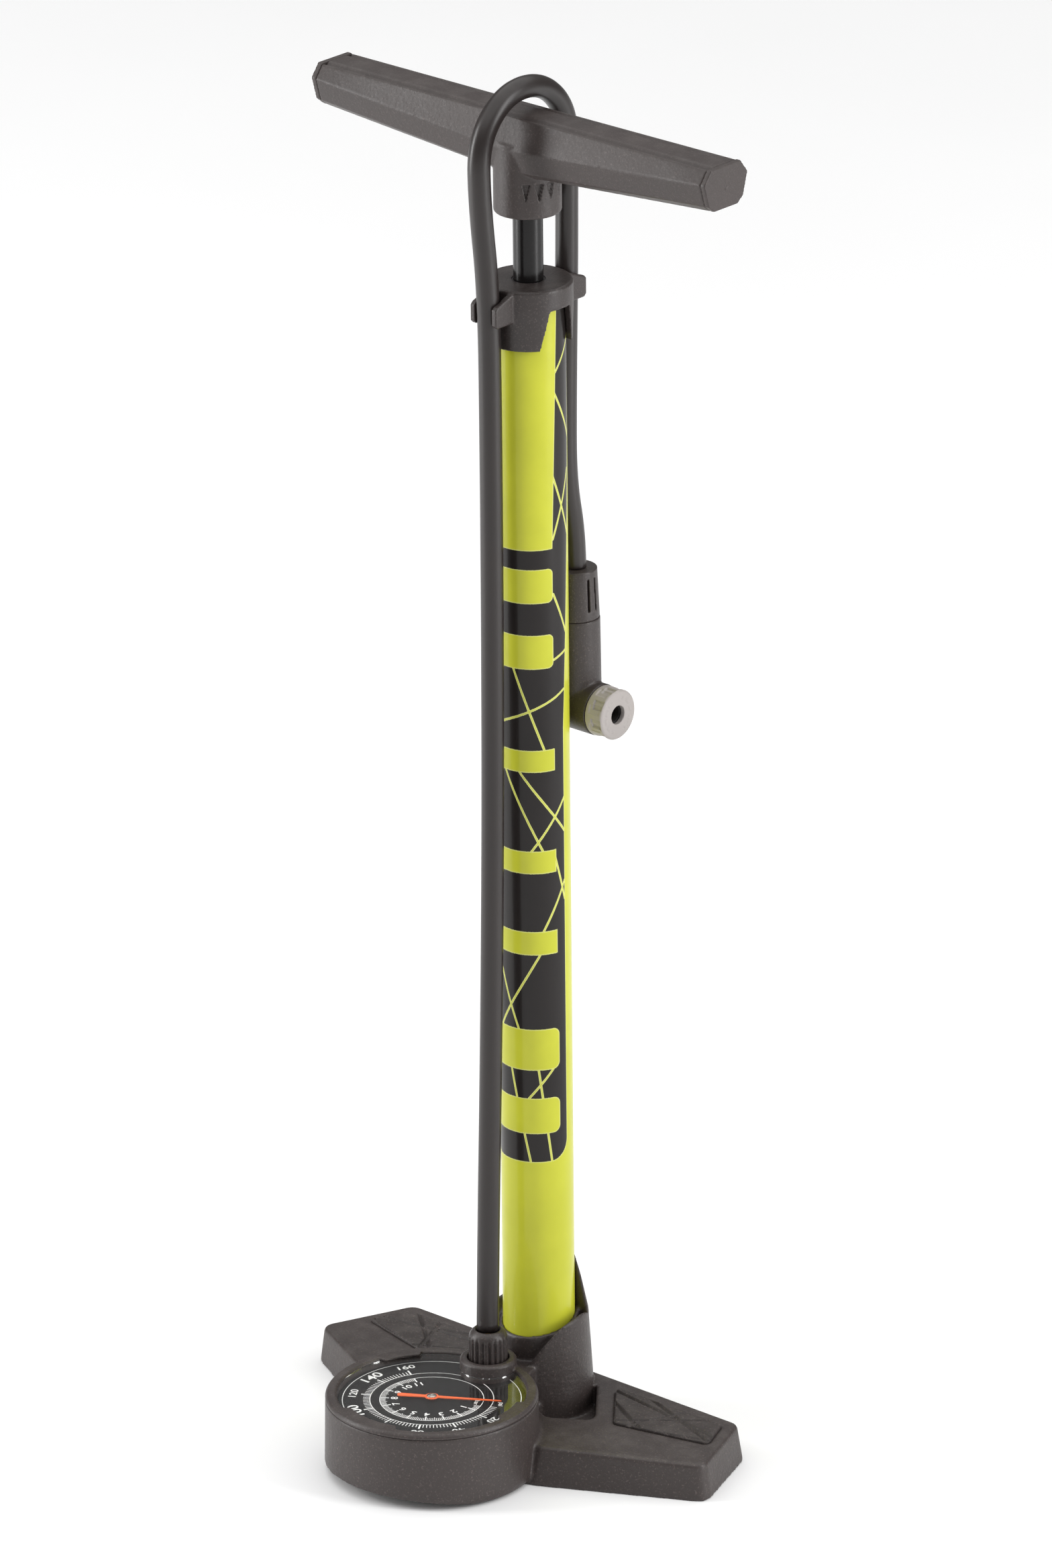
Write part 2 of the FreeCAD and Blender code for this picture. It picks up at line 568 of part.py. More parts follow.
# ---- pump head -----------------------------------------------------------------------------------
def make_head():
    bore_r = 3.0
    body = Part.makeCone(HEAD_R + 0.5, HEAD_R, HEAD_TOP - VALVE_Z, V(0, HEAD_Y, VALVE_Z))
    elbow = along_x(ELBOW_R, -8.0, CAP_X[0], HEAD_Y, VALVE_Z)
    dome = Part.makeSphere(ELBOW_R, V(-8.0, HEAD_Y, VALVE_Z)).common(box(-25, -7.9, 0, 70, 370, 420))
    body = body.fuse(elbow).fuse(dome)
    body = body.cut(cylinder(bore_r, VALVE_Z, HEAD_TOP + 1, 0, HEAD_Y))
    body = body.cut(along_x(4.0, 0.0, CAP_X[0] + 1, HEAD_Y, VALVE_Z))
    body = body.fuse(along_x(9.5, CAP_X[0] - 0.1, CAP_X[0] + 3.0, HEAD_Y, VALVE_Z).cut(
        along_x(8.0, 0, 40, HEAD_Y, VALVE_Z)))
    save("head_body", body)
    ferrule = Part.makeCone(HEAD_R - 0.2, 11.5, FERRULE_TOP - HEAD_TOP, V(0, HEAD_Y, HEAD_TOP))
    for sign in (-1, 1):
        for degrees in (-12, 12):
            slot = box(9.5, 20, -0.6, 0.6, HEAD_TOP + 5, FERRULE_TOP - 4)
            slot.rotate(V(0, 0, 0), V(0, 0, 1), degrees + (0 if sign > 0 else 180))
            slot.translate(V(0, HEAD_Y, 0))
            ferrule = ferrule.cut(slot)
    save("head_ferrule", ferrule.cut(cylinder(bore_r, HEAD_TOP - 1, FERRULE_TOP + 1, 0, HEAD_Y)))
    x0, x1 = CAP_X[0] + 0.3, CAP_X[1]
    cap = along_x(CAP_R, x0, x1, HEAD_Y, VALVE_Z)
    edge = [e for e in cap.Edges if e.BoundBox.XMin > x1 - 0.01]
    cap = cap.makeChamfer(1.0, edge)
    for i in range(8):
        x, y = polar(CAP_R + 0.9, i * 45.0 + 22.5)
        grip = box(x0 + 2.2, x1 - 2.4, -2.6, 2.6, -1.5, 1.5)
        grip.rotate(V(0, 0, 0), V(1, 0, 0), i * 45.0 + 22.5 - 90)
        grip.translate(V(0, HEAD_Y + x, VALVE_Z + y))
        cap = cap.cut(grip)
    cap = cap.cut(along_x(10.2, x0 - 1, x1 - 3.2, HEAD_Y, VALVE_Z))
    cap = cap.cut(along_x(VALVE_HOLE_R, x0 - 1, x1 + 1, HEAD_Y, VALVE_Z))
    save("head_cap", cap)
    gasket = along_x(7.9, CAP_X[0], x1 - 3.5, HEAD_Y, VALVE_Z)
    gasket = gasket.cut(along_x(GASKET_BORE_R, 10, 40, HEAD_Y, VALVE_Z))
    save("head_gasket", gasket)
    seat = along_x(3.95, 10.0, 14.0, HEAD_Y, VALVE_Z)
    pin = seat.cut(along_x(1.6, 9.0, 12.0, HEAD_Y, VALVE_Z))
    pin = pin.fuse(along_x(VALVE_PIN_R, *VALVE_PIN_X, HEAD_Y, VALVE_Z))
    save("valve_pin", pin)


# ---- plunger and handle ------------------------------------------------------------------------
def make_plunger():
    inner_r = ROD_R - ROD_WALL
    seal_low, seal_high = ROD_BOTTOM - 13.0, ROD_BOTTOM - 8.0
    groove_r = BARREL_BORE_R - 3.0
    save("piston_rod", tube(ROD_R, inner_r, ROD_BOTTOM, ROD_TOP))
    piston = cylinder(BARREL_BORE_R - 0.3, ROD_BOTTOM - 18.0, ROD_BOTTOM)
    piston = piston.cut(tube(BARREL_BORE_R + 1, groove_r, seal_low, seal_high))
    piston = piston.fuse(cylinder(inner_r, ROD_BOTTOM - 0.1, ROD_BOTTOM + 16.0))
    save("piston", piston.cut(cylinder(2.5, ROD_BOTTOM - 20, ROD_BOTTOM + 6)))
    save("piston_seal", tube(BARREL_BORE_R - RUN_GAP, groove_r + RUN_GAP,
                             seal_low + RUN_GAP, seal_high - RUN_GAP))
    screw_low = ROD_BOTTOM - 22.0
    save("piston_screw", cylinder(2.5, screw_low, ROD_BOTTOM + 6).fuse(
        cylinder(5.0, screw_low, screw_low + 4.0)))
    insert = cylinder(inner_r, ROD_TOP - 22.0, ROD_TOP).cut(cylinder(3.0, ROD_TOP - 23, ROD_TOP + 1))
    save("rod_insert", insert)
    save("handle_screw", cylinder(3.0, ROD_TOP - 20.0, ROD_TOP + 2.0).fuse(
        cylinder(6.0, ROD_TOP + 2.0, ROD_TOP + 6.5)))
    save("handle_washer", tube(8.0, 3.0, ROD_TOP, ROD_TOP + 2.0))


def handle_section(x, half):
    """Closed cross-section at x: the half outline on one side and its mirror on the other."""
    side = [V(x, y, z) for y, z in half]
    other = [V(x, -p.y, p.z) for p in reversed(side)]
    points = side + other
    return Part.makePolygon(points + points[:1])


def between(fraction):
    return [(a[0] + (b[0] - a[0]) * fraction, a[1] + (b[1] - a[1]) * fraction)
            for a, b in zip(HANDLE_MIDDLE, HANDLE_END)]


def hollow(half):
    """Half outline of the hollow inside the bar: a wall in from the outside, open underneath."""
    top, middle, low, bottom = half
    wall = HANDLE_WALL
    return [(top[0] - wall, top[1] - wall), (middle[0] - wall, middle[1]), (low[0] - wall, low[1] + 1.5),
            (bottom[0] - wall, bottom[1] - 1.0)]


def handle_span(x0, x1, outline=lambda half: half):
    """Length of the bar between two places on the same side of the middle."""
    wires = [handle_section(x, outline(between(abs(x) / HANDLE_HALF))) for x in (x0, x1)]
    return Part.makeLoft(wires, True, True)


def make_handle():
    joint = HANDLE_HALF - END_CAP_LENGTH
    bar = handle_span(0.0, joint).fuse(handle_span(0.0, -joint))
    bar = bar.fuse(turned([(0, HUB_BOTTOM), (HUB_R - 0.8, HUB_BOTTOM), (HUB_R, HUB_BOTTOM + 0.8),
                           (HUB_R, 712.0), (0, 712.0)]))
    cells = 4
    first, last, rib = 21.0, joint - 3.0, 2.0
    pitch = (last - first) / cells
    for side in (-1, 1):
        for i in range(cells):
            x0, x1 = first + i * pitch, first + (i + 1) * pitch - rib
            cell = handle_span(side * x0, side * x1, hollow)
            bar = bar.cut(cell.cut(cylinder(HUB_R, 660, 730)))
    bar = bar.cut(cylinder(ROD_R, HUB_BOTTOM - 1, ROD_TOP)).cut(cylinder(8.2, ROD_TOP - 0.01, ROD_TOP + 7.0))
    save("handle_grip", bar.removeSplitter())
    save("handle_end_cap_right", handle_span(joint, HANDLE_HALF))
    save("handle_end_cap_left", handle_span(-joint, -HANDLE_HALF))


def main():
    os.makedirs("parts", exist_ok=True)
    make_base()
    make_pads()
    make_barrel()
    make_collar()
    make_check_valve()
    make_bezel()
    make_lens_and_dial()
    make_movement_plate()
    save("pressure_block", pressure_block())
    make_bourdon_tube()
    make_sector()
    make_spindle()
    make_needle()
    make_port()
    make_hose()
    make_head()
    make_plunger()
    make_handle()


main()
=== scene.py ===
"""Looks of a floor bike pump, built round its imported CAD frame. Lengths are metres, +Z is up."""

import logging
import math
from dataclasses import dataclass, field
from enum import Enum
from typing import Callable, Optional, Sequence, Union

import bmesh
import bpy
from mathutils import Matrix, Vector


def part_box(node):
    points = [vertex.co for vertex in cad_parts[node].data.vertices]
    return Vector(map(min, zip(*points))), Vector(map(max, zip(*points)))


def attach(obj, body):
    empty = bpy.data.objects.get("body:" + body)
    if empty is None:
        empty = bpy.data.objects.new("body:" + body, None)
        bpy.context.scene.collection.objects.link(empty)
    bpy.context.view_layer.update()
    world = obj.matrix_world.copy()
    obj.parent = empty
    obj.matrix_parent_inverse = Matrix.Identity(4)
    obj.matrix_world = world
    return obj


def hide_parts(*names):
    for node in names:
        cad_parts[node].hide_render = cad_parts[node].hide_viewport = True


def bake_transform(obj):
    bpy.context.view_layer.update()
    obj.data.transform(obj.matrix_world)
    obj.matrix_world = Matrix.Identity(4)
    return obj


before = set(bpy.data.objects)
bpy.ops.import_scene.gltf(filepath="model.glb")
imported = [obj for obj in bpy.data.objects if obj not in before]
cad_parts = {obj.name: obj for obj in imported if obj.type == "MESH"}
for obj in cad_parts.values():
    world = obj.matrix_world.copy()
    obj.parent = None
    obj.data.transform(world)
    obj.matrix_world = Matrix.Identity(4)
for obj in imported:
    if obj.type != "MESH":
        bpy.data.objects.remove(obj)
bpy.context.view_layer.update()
LOG = logging.getLogger("floor_pump")

MM = 0.001
Colour = tuple[float, float, float]
Point2 = tuple[float, float]
Socket = bpy.types.NodeSocket
Value = Union[Socket, float, Sequence[float]]
Shaper = Callable[[Vector], Vector]


class Body(Enum):
    """Moving bodies of the pump that a piece can ride on."""

    ROOT = "root"
    PLUNGER = "plunger"
    HANDLE = "handle"
    NEEDLE = "needle"
    HEAD_CAP = "head_cap"
    POPPET = "poppet"


class Slot(Enum):
    """Names of the pump's material slots."""

    BASE = "base_plastic"
    COLLAR = "collar_plastic"
    HANDLE = "handle_plastic"
    CAP = "cap_grey"
    DIAL = "dial_black"
    NEEDLE = "needle_orange"
    PAD = "pad_rubber"
    HOSE = "hose_rubber"
    BARREL = "barrel_paint"
    ROD = "rod_black"
    STEEL = "steel"


class Effect(Enum):
    """Shared shader effects, each one a node group."""

    GRAIN = "moulded_grain"
    # mask of rubbed edges, also used to mask creases and hollows for painted shade
    WEAR = "edge_wear"
    DUST = "settled_dust"
    CLOUD = "cloudy_tone"
    SCRATCH = "hairline_scratches"
    STROKE = "drawn_stroke"
    BLOCK = "rounded_block"


# ---- shader nodes ----------------------------------------------------------------------------


class Tree:
    """Adds nodes to a shader node tree and joins them."""

    def __init__(self, tree: bpy.types.NodeTree) -> None:
        """Keep the tree that the nodes go into."""
        self.tree = tree

    def node(self, kind: str, **settings: object) -> bpy.types.Node:
        """Add one node.

        Args:
            kind: Blender's name for the node type.
            settings: attributes to set on the new node.

        Returns:
            The new node.
        """
        made = self.tree.nodes.new(kind)
        for key, value in settings.items():
            setattr(made, key, value)
        return made

    def feed(self, socket: Socket, value: Value) -> None:
        """Join a socket to another one, or set it to a plain value."""
        if isinstance(value, bpy.types.NodeSocket):
            self.tree.links.new(value, socket)
        else:
            socket.default_value = value

    def math(self, operation: str, *values: Value, clamp: bool = False) -> Socket:
        """Work out one number.

        Args:
            operation: name of the Math node's operation.
            values: its inputs, in order.
            clamp: whether the result is kept between 0 and 1.

        Returns:
            The result's socket.
        """
        made = self.node("ShaderNodeMath", operation=operation, use_clamp=clamp)
        for socket, value in zip(made.inputs, values):
            self.feed(socket, value)
        return made.outputs[0]

    def ramp(self, value: Value, low: Value, high: Value, start: Value = 0.0,
             end: Value = 1.0) -> Socket:
        """Map a value smoothly from the span low..high to start..end.

        Args:
            value: the value to map.
            low: lower end of the span.
            high: upper end of the span.
            start: result at the lower end.
            end: result at the upper end.

        Returns:
            The mapped value's socket.
        """
        made = self.node("ShaderNodeMapRange", interpolation_type="SMOOTHSTEP")
        names = ("Value", "From Min", "From Max", "To Min", "To Max")
        for name, part in zip(names, (value, low, high, start, end)):
            self.feed(made.inputs[name], part)
        return made.outputs["Result"]

    def blend(self, factor: Value, first: Value, second: Value) -> Socket:
        """Mix two colours.

        Args:
            factor: share of the second colour.
            first: colour at factor 0.
            second: colour at factor 1.

        Returns:
            The mixed colour's socket.
        """
        made = self.node("ShaderNodeMix", data_type="RGBA")
        self.feed(made.inputs["Factor"], factor)
        for name, colour in (("A", first), ("B", second)):
            socket = next(s for s in made.inputs if s.name == name and s.type == "RGBA")
            self.feed(socket, colour if isinstance(colour, bpy.types.NodeSocket) else (*colour, 1.0))
        return next(s for s in made.outputs if s.type == "RGBA")

    def noise(self, vector: Socket, scale: Value, detail: float = 2.0, roughness: float = 0.5) -> Socket:
        """Noise texture's value at a place.

        Args:
            vector: the place.
            scale: repeats per metre.
            detail: number of finer layers.
            roughness: strength of the finer layers.

        Returns:
            The value's socket.
        """
        made = self.node("ShaderNodeTexNoise")
        self.feed(made.inputs["Vector"], vector)
        self.feed(made.inputs["Scale"], scale)
        made.inputs["Detail"].default_value = detail
        made.inputs["Roughness"].default_value = roughness
        return made.outputs["Fac"]

    def place(self) -> Socket:
        """Place on the piece, in metres of its own frame."""
        return self.node("ShaderNodeTexCoord").outputs["Object"]


class EffectLibrary:
    """Builds each shared effect's node group once and hands it out."""

    def __init__(self) -> None:
        """Start with no groups."""
        self.groups: dict[Effect, bpy.types.NodeTree] = {}
        self.makers: dict[Effect, Callable[[Tree, dict[str, Socket]], dict[str, Socket]]] = {
            Effect.GRAIN: self._grain,
            Effect.WEAR: self._wear,
            Effect.DUST: self._dust,
            Effect.CLOUD: self._cloud,
            Effect.SCRATCH: self._scratch,
            Effect.STROKE: self._stroke,
            Effect.BLOCK: self._block,
        }
        self.inputs: dict[Effect, tuple[str, ...]] = {
            Effect.GRAIN: ("Scale",),
            Effect.WEAR: ("Start", "End"),
            Effect.DUST: ("Scale", "Amount"),
            Effect.CLOUD: ("Scale",),
            Effect.SCRATCH: ("Scale",),
            Effect.STROKE: ("U", "V", "Start U", "Start V", "End U", "End V"),
            Effect.BLOCK: ("U", "V", "Middle U", "Middle V", "Half U", "Half V", "Corner"),
        }
        self.outputs: dict[Effect, tuple[str, ...]] = {
            Effect.GRAIN: ("Height", "Fleck"),
            Effect.WEAR: ("Mask",),
            Effect.DUST: ("Mask",),
            Effect.CLOUD: ("Tone",),
            Effect.SCRATCH: ("Height", "Mask"),
            Effect.STROKE: ("Distance",),
            Effect.BLOCK: ("Distance",),
        }

    def group(self, effect: Effect) -> bpy.types.NodeTree:
        """Give the effect's node group, built on first use.

        Args:
            effect: which effect.

        Returns:
            The effect's shader node group.
        """
        if effect not in self.groups:
            made = bpy.data.node_groups.new(effect.value, "ShaderNodeTree")
            for name in self.inputs[effect]:
                made.interface.new_socket(name=name, in_out="INPUT", socket_type="NodeSocketFloat")
            for name in self.outputs[effect]:
                made.interface.new_socket(name=name, in_out="OUTPUT", socket_type="NodeSocketFloat")
            tree = Tree(made)
            entry, leave = tree.node("NodeGroupInput"), tree.node("NodeGroupOutput")
            given = {name: entry.outputs[name] for name in self.inputs[effect]}
            for name, socket in self.makers[effect](tree, given).items():
                tree.feed(leave.inputs[name], socket)
            self.groups[effect] = made
        return self.groups[effect]

    def use(self, tree: Tree, effect: Effect, **values: Value) -> dict[str, Socket]:
        """Place an effect in a material.

        Args:
            tree: the material's node tree.
            effect: which effect.
            values: its inputs by name, with _ for a space.

        Returns:
            The effect's outputs by name.
        """
        made = tree.node("ShaderNodeGroup", node_tree=self.group(effect))
        for name, value in values.items():
            tree.feed(made.inputs[name.replace("_", " ")], value)
        return {socket.name: socket for socket in made.outputs}

    @staticmethod
    def _grain(tree: Tree, given: dict[str, Socket]) -> dict[str, Socket]:
        """Spark-eroded mould grain: small pits and raised flecks."""
        place = tree.place()
        fine = tree.noise(place, given["Scale"], 3.0, 0.65)
        cells = tree.node("ShaderNodeTexVoronoi", feature="SMOOTH_F1")
        tree.feed(cells.inputs["Vector"], place)
        tree.feed(cells.inputs["Scale"], tree.math("MULTIPLY", given["Scale"], 0.55))
        pits = tree.ramp(cells.outputs["Distance"], 0.1, 0.8)
        height = tree.math("ADD", tree.math("MULTIPLY", fine, 0.65), tree.math("MULTIPLY", pits, 0.35))
        return {"Height": height, "Fleck": tree.ramp(fine, 0.54, 0.72)}

    @staticmethod
    def _wear(tree: Tree, given: dict[str, Socket]) -> dict[str, Socket]:
        """Rubbed outside edges, broken up by a fine noise; with Start above End it masks creases and
        hollows instead, for painted shade.
        """
        point = tree.node("ShaderNodeNewGeometry").outputs["Pointiness"]
        edge = tree.ramp(point, given["Start"], given["End"])
        broken = tree.ramp(tree.noise(tree.place(), 260.0, 3.0), 0.3, 0.6)
        return {"Mask": tree.math("MULTIPLY", edge, broken)}

    @staticmethod
    def _dust(tree: Tree, given: dict[str, Socket]) -> dict[str, Socket]:
        """Thin dust on faces that look up."""
        parts = tree.node("ShaderNodeSeparateXYZ")
        tree.feed(parts.inputs[0], tree.node("ShaderNodeNewGeometry").outputs["Normal"])
        up = tree.ramp(parts.outputs["Z"], 0.3, 1.0)
        patches = tree.ramp(tree.noise(tree.place(), given["Scale"], 4.0, 0.6), 0.35, 0.75)
        return {"Mask": tree.math("MULTIPLY", tree.math("MULTIPLY", up, patches), given["Amount"])}

    @staticmethod
    def _cloud(tree: Tree, given: dict[str, Socket]) -> dict[str, Socket]:
        """Slow change of tone over a surface."""
        return {"Tone": tree.ramp(tree.noise(tree.place(), given["Scale"], 3.0, 0.55), 0.3, 0.7)}

    @staticmethod
    def _scratch(tree: Tree, given: dict[str, Socket]) -> dict[str, Socket]:
        """Fine hairlines that run round a turned part."""
        stretch = tree.node("ShaderNodeMapping")
        tree.feed(stretch.inputs["Vector"], tree.place())
        stretch.inputs["Scale"].default_value = (0.08, 0.08, 1.0)
        lines = tree.noise(stretch.outputs["Vector"], given["Scale"], 4.0, 0.7)
        return {"Height": lines, "Mask": tree.ramp(lines, 0.5, 0.68)}

    @staticmethod
    def _stroke(tree: Tree, given: dict[str, Socket]) -> dict[str, Socket]:
        """Distance from a straight stroke between two places of a flat drawing."""
        along_u = tree.math("SUBTRACT", given["End U"], given["Start U"])
        along_v = tree.math("SUBTRACT", given["End V"], given["Start V"])
        from_u = tree.math("SUBTRACT", given["U"], given["Start U"])
        from_v = tree.math("SUBTRACT", given["V"], given["Start V"])
        dot = tree.math("ADD", tree.math("MULTIPLY", along_u, from_u),
                        tree.math("MULTIPLY", along_v, from_v))
        square = tree.math("ADD", tree.math("MULTIPLY", along_u, along_u),
                           tree.math("MULTIPLY", along_v, along_v))
        share = tree.math("DIVIDE", dot, square, clamp=True)
        off_u = tree.math("SUBTRACT", from_u, tree.math("MULTIPLY", along_u, share))
        off_v = tree.math("SUBTRACT", from_v, tree.math("MULTIPLY", along_v, share))
        total = tree.math("ADD", tree.math("MULTIPLY", off_u, off_u), tree.math("MULTIPLY", off_v, off_v))
        return {"Distance": tree.math("SQRT", total)}

    @staticmethod
    def _block(tree: Tree, given: dict[str, Socket]) -> dict[str, Socket]:
        """Distance from a block with rounded corners, below zero inside it."""
        outside, inside = [], []
        for axis in ("U", "V"):
            offset = tree.math("ABSOLUTE", tree.math("SUBTRACT", given[axis], given["Middle " + axis]))
            core = tree.math("SUBTRACT", given["Half " + axis], given["Corner"])
            gap = tree.math("SUBTRACT", offset, core)
            outside.append(tree.math("MAXIMUM", gap, 0.0))
            inside.append(gap)
        far = tree.math("SQRT", tree.math("ADD", *(tree.math("MULTIPLY", part, part) for part in outside)))
        near = tree.math("MINIMUM", tree.math("MAXIMUM", *inside), 0.0)
        return {"Distance": tree.math("SUBTRACT", tree.math("ADD", far, near), given["Corner"])}


EFFECTS = EffectLibrary()


def new_material(name: str) -> tuple[bpy.types.Material, Tree, bpy.types.Node]:
    """Start a material that holds one Principled shader.

    Args:
        name: the material's name.

    Returns:
        The material, its node tree and the shader node.
    """
    material = bpy.data.materials.new(name)
    material.use_nodes = True
    tree = Tree(material.node_tree)
    shader = next(node for node in material.node_tree.nodes if node.type == "BSDF_PRINCIPLED")
    return material, tree, shader


def darker(colour: Colour, share: float) -> Colour:
    """Scale a colour by a share."""
    return (colour[0] * share, colour[1] * share, colour[2] * share)


@dataclass(frozen=True)
class MouldedFinish:
    """Moulded plastic or rubber with a fine eroded grain."""

    name: str
    colour: Colour
    roughness: float = 0.44
    grain_scale: float = 900.0
    grain_depth: float = 0.00016
    fleck: float = 3.0
    fleck_amount: float = 0.7
    wear: float = 0.25
    dust: float = 0.06
    coat: float = 0.0
    # share of painted shade that darkens creases and hollows
    hollow: float = 0.8

    def build(self) -> bpy.types.Material:
        """Make the material."""
        material, tree, shader = new_material(self.name)
        grain = EFFECTS.use(tree, Effect.GRAIN, Scale=self.grain_scale)
        tone = EFFECTS.use(tree, Effect.CLOUD, Scale=22.0)["Tone"]
        wear = EFFECTS.use(tree, Effect.WEAR, Start=0.53, End=0.60)["Mask"]
        dust = EFFECTS.use(tree, Effect.DUST, Scale=90.0, Amount=self.dust)["Mask"]
        base = tree.blend(tone, darker(self.colour, 0.92), darker(self.colour, 1.08))
        flecks = tree.math("MULTIPLY", grain["Fleck"], self.fleck_amount)
        base = tree.blend(flecks, base, darker(self.colour, self.fleck))
        base = tree.blend(tree.math("MULTIPLY", wear, self.wear), base, darker(self.colour, 2.2))
        base = tree.blend(dust, base, (0.42, 0.39, 0.36))
        # painted shade: creases and hollows are darkened in the base colour
        hollow = EFFECTS.use(tree, Effect.WEAR, Start=0.475, End=0.42)["Mask"]
        base = tree.blend(tree.math("MULTIPLY", hollow, self.hollow), base, darker(self.colour, 0.25))
        tree.feed(shader.inputs["Base Color"], base)
        rough = tree.ramp(tone, 0.0, 1.0, self.roughness - 0.03, self.roughness + 0.04)
        smoother = tree.math("MULTIPLY", flecks, 0.08)
        tree.feed(shader.inputs["Roughness"], tree.math("SUBTRACT", rough, smoother))
        bump = tree.node("ShaderNodeBump")
        bump.inputs["Distance"].default_value = self.grain_depth
        tree.feed(bump.inputs["Height"], grain["Height"])
        tree.feed(shader.inputs["Normal"], bump.outputs["Normal"])
        shader.inputs["Coat Weight"].default_value = self.coat
        shader.inputs["Coat Roughness"].default_value = 0.25
        return material


@dataclass(frozen=True)
class GlossFinish:
    """Smooth glossy lacquer, plastic or print with a faint change of tone and hairlines."""

    name: str
    colour: Colour
    roughness: float = 0.12
    coat: float = 0.0
    metallic: float = 0.0
    specular: float = 0.5

    def build(self) -> bpy.types.Material:
        """Make the material."""
        material, tree, shader = new_material(self.name)
        tone = EFFECTS.use(tree, Effect.CLOUD, Scale=60.0)["Tone"]
        lines = EFFECTS.use(tree, Effect.SCRATCH, Scale=2600.0)
        tree.feed(shader.inputs["Base Color"],
                  tree.blend(tone, darker(self.colour, 0.93), darker(self.colour, 1.06)))
        scuff = tree.math("MULTIPLY", lines["Mask"], 0.10)
        tree.feed(shader.inputs["Roughness"], tree.math("ADD", scuff, tree.ramp(
            tone, 0.0, 1.0, self.roughness, self.roughness + 0.04)))
        bump = tree.node("ShaderNodeBump")
        bump.inputs["Distance"].default_value = 0.000002
        tree.feed(bump.inputs["Height"], lines["Height"])
        tree.feed(shader.inputs["Normal"], bump.outputs["Normal"])
        shader.inputs["Metallic"].default_value = self.metallic
        shader.inputs["Specular IOR Level"].default_value = self.specular
        shader.inputs["Coat Weight"].default_value = self.coat
        shader.inputs["Coat Roughness"].default_value = 0.04
        return material


@dataclass(frozen=True)
class ClearFinish:
    """Clear moulded plastic that lets light through to what it covers."""

    name: str
    tint: Colour = (0.97, 0.98, 0.97)

    def build(self) -> bpy.types.Material:
        """Make the material."""
        material, tree, shader = new_material(self.name)
        shader.inputs["Transmission Weight"].default_value = 1.0
        shader.inputs["IOR"].default_value = 1.49
        tone = EFFECTS.use(tree, Effect.CLOUD, Scale=140.0)["Tone"]
        tree.feed(shader.inputs["Base Color"], tree.blend(tone, self.tint, (1.0, 1.0, 1.0)))
        tree.feed(shader.inputs["Roughness"], tree.ramp(tone, 0.0, 1.0, 0.0, 0.012))
        clear = tree.node("ShaderNodeBsdfTransparent")
        pick = tree.node("ShaderNodeMixShader")
        tree.feed(pick.inputs[0], tree.node("ShaderNodeLightPath").outputs["Is Shadow Ray"])
        tree.feed(pick.inputs[1], shader.outputs[0])
        tree.feed(pick.inputs[2], clear.outputs[0])
        output = next(node for node in material.node_tree.nodes if node.type == "OUTPUT_MATERIAL")
        tree.feed(output.inputs["Surface"], pick.outputs[0])
        return material


@dataclass(frozen=True)
class Block:
    """One rounded block of the barrel's pattern: an angle span in degrees and a height span in metres."""

    angles: Point2
    heights: Point2
    corner: float = 0.0
    lean: float = 0.0
    lean_from: float = 0.0


@dataclass(frozen=True)
class Stroke:
    """One thin line of the barrel's pattern between two places, as (angle in degrees, height in metres)."""

    start: Point2
    end: Point2


